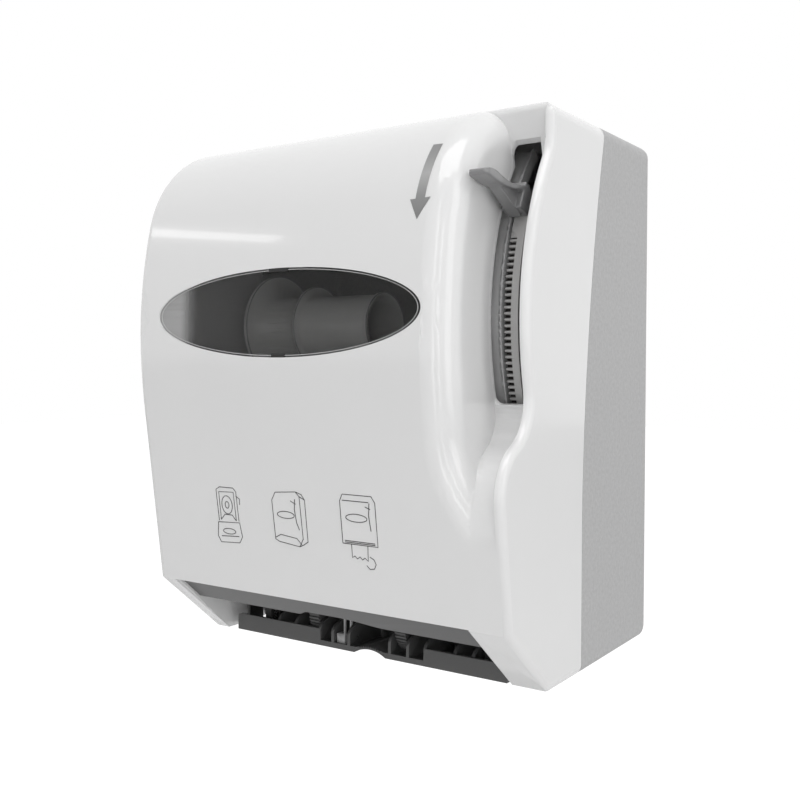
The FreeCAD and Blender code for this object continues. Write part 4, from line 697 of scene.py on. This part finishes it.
def softenLever():
    lever = pieces["lever_handle"]
    pickOnly(lever)
    cells = lever.modifiers.new("evenCells", "REMESH")
    cells.mode = "VOXEL"
    cells.voxel_size = leverForm["cell"] * millimetre
    bpy.ops.object.modifier_apply(modifier=cells.name)
    soft = lever.modifiers.new("softEdges", "SMOOTH")
    soft.iterations = leverForm["passes"]
    soft.factor = leverForm["strength"]
    bpy.ops.object.modifier_apply(modifier=soft.name)
    bpy.ops.object.shade_smooth()


softenLever()
print("lever ready")


# thin light rings on the roll hub's edges: distance along the hub, and radius
hubEdgeForm = dict(rings=((2.6, 41.8), (42.0, 31.8), (105.9, 25.2)), width=0.45, turns=72, sides=6)


def addHubEdges():
    low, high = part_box("left_hub")
    rings = []
    for along, radius in hubEdgeForm["rings"]:
        place = (low.x + along * millimetre, (low.y + high.y) / 2, (low.z + high.z) / 2)
        pickNone()
        bpy.ops.mesh.primitive_torus_add(location=place, rotation=(0.0, quarterTurn, 0.0),
                                         major_radius=radius * millimetre,
                                         minor_radius=hubEdgeForm["width"] * millimetre,
                                         major_segments=hubEdgeForm["turns"],
                                         minor_segments=hubEdgeForm["sides"])
        bpy.ops.object.shade_smooth()
        rings.append(bpy.context.object)
    for ring in rings:
        ring.select_set(True)
    bpy.ops.object.join()
    body = nodes["left_hub"]["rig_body"]
    finishPiece(bpy.context.object, "left_hub_edges", "rimGreyAndPaintedHighlight", body)


addHubEdges()
print("hub edges ready")


# the wound springs, in millimetres: each stands on its place and is turned by its angles
springForms = {
    "pinch_springs": dict(places=((-100.9, -147.5, -184.0), (97.0, -147.5, -184.0)), turn=(0.0, 0.0, 0.0),
                          radius=2.3, wire=0.9, turns=6, length=14.5),
    "lever_spring": dict(places=((103.8, -13.0, 49.5),), turn=(0.0, 90.0, 0.0),
                         radius=6.0, wire=1.4, turns=8, length=14.9),
    "roll_arm_spring": dict(places=((-122.5, -9.0, 70.8),), turn=(0.0, 0.0, 0.0),
                            radius=2.9, wire=0.9, turns=4, length=6.5),
}
wireForm = dict(sides=8, stepsPerTurn=20, smoothAngle=50.0)


def windSpring(form):
    start = Vector((form["radius"], 0.0, form["wire"] / 2)) * millimetre
    pickNone()
    bpy.ops.mesh.primitive_circle_add(vertices=wireForm["sides"], radius=form["wire"] / 2 * millimetre,
                                      location=start, rotation=(quarterTurn, 0.0, 0.0))
    spring = bpy.context.object
    bpy.ops.object.transform_apply(location=True, rotation=True, scale=True)
    screw = spring.modifiers.new("windings", "SCREW")
    screw.axis = "Z"
    screw.steps = screw.render_steps = wireForm["stepsPerTurn"]
    screw.iterations = form["turns"]
    screw.screw_offset = (form["length"] - form["wire"]) / form["turns"] * millimetre
    bpy.ops.object.modifier_apply(modifier=screw.name)
    bpy.ops.object.mode_set(mode="EDIT")
    bpy.ops.mesh.select_all(action="SELECT")
    bpy.ops.mesh.fill_holes(sides=wireForm["sides"])
    bpy.ops.mesh.select_all(action="SELECT")
    bpy.ops.mesh.normals_make_consistent(inside=False)
    bpy.ops.object.mode_set(mode="OBJECT")
    bpy.ops.object.shade_smooth_by_angle(angle=math.radians(wireForm["smoothAngle"]))
    return spring


def addSpring(node, form):
    springs = []
    for place in form["places"]:
        spring = windSpring(form)
        spring.rotation_euler = [math.radians(turn) for turn in form["turn"]]
        spring.location = Vector(place) * millimetre
        springs.append(spring)
    pickOnly(springs[-1])
    if len(springs) > 1:
        for spring in springs:
            spring.select_set(True)
        bpy.ops.object.join()
    body = nodes[node]["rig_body"]
    piece = finishPiece(bpy.context.object, node + "_wound", "springSteel", body)
    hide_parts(node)


for node, form in springForms.items():
    addSpring(node, form)
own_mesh(pieces["pinch_springs_wound"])
print("springs ready")


# a floor below the dispenser, which looks white to the camera and keeps part of the shadow
stageLook = dict(drop=0.30, span=14.0, color=(0.93, 0.93, 0.93), roughness=0.9, shade=0.35, glow=1.30)


def makeStage():
    pickNone()
    bpy.ops.mesh.primitive_plane_add(size=stageLook["span"],
                                     location=(0.0, 0.0, cadLow.z - stageLook["drop"]))
    floor = bpy.context.object
    floor.name = "paleFloor"
    material, tree, shader = newMaterial("paleFloor")
    shader.inputs["Base Color"].default_value = (*stageLook["color"], 1.0)
    shader.inputs["Roughness"].default_value = stageLook["roughness"]
    glow = addNode(tree, "ShaderNodeEmission", {"Strength": stageLook["glow"]})
    ray = tree.nodes.new("ShaderNodeLightPath")
    share = addNode(tree, "ShaderNodeMath", {
        0: ray.outputs["Is Camera Ray"], 1: 1.0 - stageLook["shade"]}, "MULTIPLY")
    mix = addNode(tree, "ShaderNodeMixShader", {
        "Fac": share.outputs[0], 1: shader.outputs["BSDF"], 2: glow.outputs[0]})
    feed(tree, tree.nodes["Material Output"].inputs["Surface"], mix.outputs[0])
    floor.data.materials.append(material)


# the light of the surroundings rises from below to above, and the camera, gloss and glass see white
worldLook = dict(below=0.12, above=0.72, seen=("Is Camera Ray", "Is Glossy Ray", "Is Transmission Ray"))


def makeWorld():
    world = bpy.data.worlds.new("studio")
    scene.world = world
    world.use_nodes = True
    tree = world.node_tree
    background = tree.nodes["Background"]
    direction = tree.nodes.new("ShaderNodeTexCoord").outputs["Generated"]
    height = addNode(tree, "ShaderNodeSeparateXYZ", {0: direction}).outputs["Z"]
    sky = addNode(tree, "ShaderNodeMapRange", {
        "Value": height, "From Min": -1.0, "To Min": worldLook["below"], "To Max": worldLook["above"]})
    ray = tree.nodes.new("ShaderNodeLightPath")
    strength = sky.outputs[0]
    for label in worldLook["seen"]:
        strength = addNode(tree, "ShaderNodeMath", {0: strength, 1: ray.outputs[label]}, "MAXIMUM").outputs[0]
    feed(tree, background.inputs["Strength"], strength)
    background.inputs["Color"].default_value = (1.0, 1.0, 1.0, 1.0)


# lamps: places in metres, power in watts
lampLooks = {
    "topLight": dict(place=(0.7, -0.8, 1.9), aim=(0.0, -0.1, 0.05), size=(1.8, 1.2), power=14.5),
    "frontLight": dict(place=(0.2, -2.4, 0.5), aim=(0.0, 0.0, 0.0), size=(1.4, 1.8), power=0.5),
    "sideLight": dict(place=(2.0, -0.5, 0.5), aim=(0.1, 0.0, 0.0), size=(0.8, 1.8), power=5.4),
    "edgeStrip": dict(place=(0.92, -1.84, 0.2), aim=(0.1, -0.2, 0.0), size=(0.20, 2.0), power=2.3),
    "recessStrip": dict(place=(1.7, -1.7, 0.2), aim=(0.1, -0.2, 0.0), size=(0.06, 1.8), power=2.0),
    "browStrip": dict(place=(-1.27, -1.13, 0.76), aim=(-0.1, -0.24, 0.11), size=(0.50, 0.05), power=0.26),
}


def addLamp(name, look):
    place = Vector(look["place"])
    bpy.ops.object.light_add(type="AREA", location=place)
    lamp = bpy.context.object
    lamp.name = name
    lamp.data.shape = "RECTANGLE"
    lamp.data.size, lamp.data.size_y = look["size"]
    lamp.data.energy = look["power"]
    lamp.rotation_euler = (Vector(look["aim"]) - place).to_track_quat("-Z", "Y").to_euler()


cameraLook = dict(place=(0.421, -0.735, 0.0215), yaw=34.30, pitch=2.08, lens=44.5, sensor=36.0)


def addCamera():
    bpy.ops.object.camera_add(location=cameraLook["place"])
    camera = bpy.context.object
    camera.name = "viewCamera"
    camera.rotation_euler = (math.radians(90.0 - cameraLook["pitch"]), 0.0, math.radians(cameraLook["yaw"]))
    camera.data.lens = cameraLook["lens"]
    camera.data.sensor_width = cameraLook["sensor"]
    scene.camera = camera


makeStage()
makeWorld()
for name, look in lampLooks.items():
    addLamp(name, look)
addCamera()
scene.view_settings.view_transform = "Standard"
print("stage and lights ready")
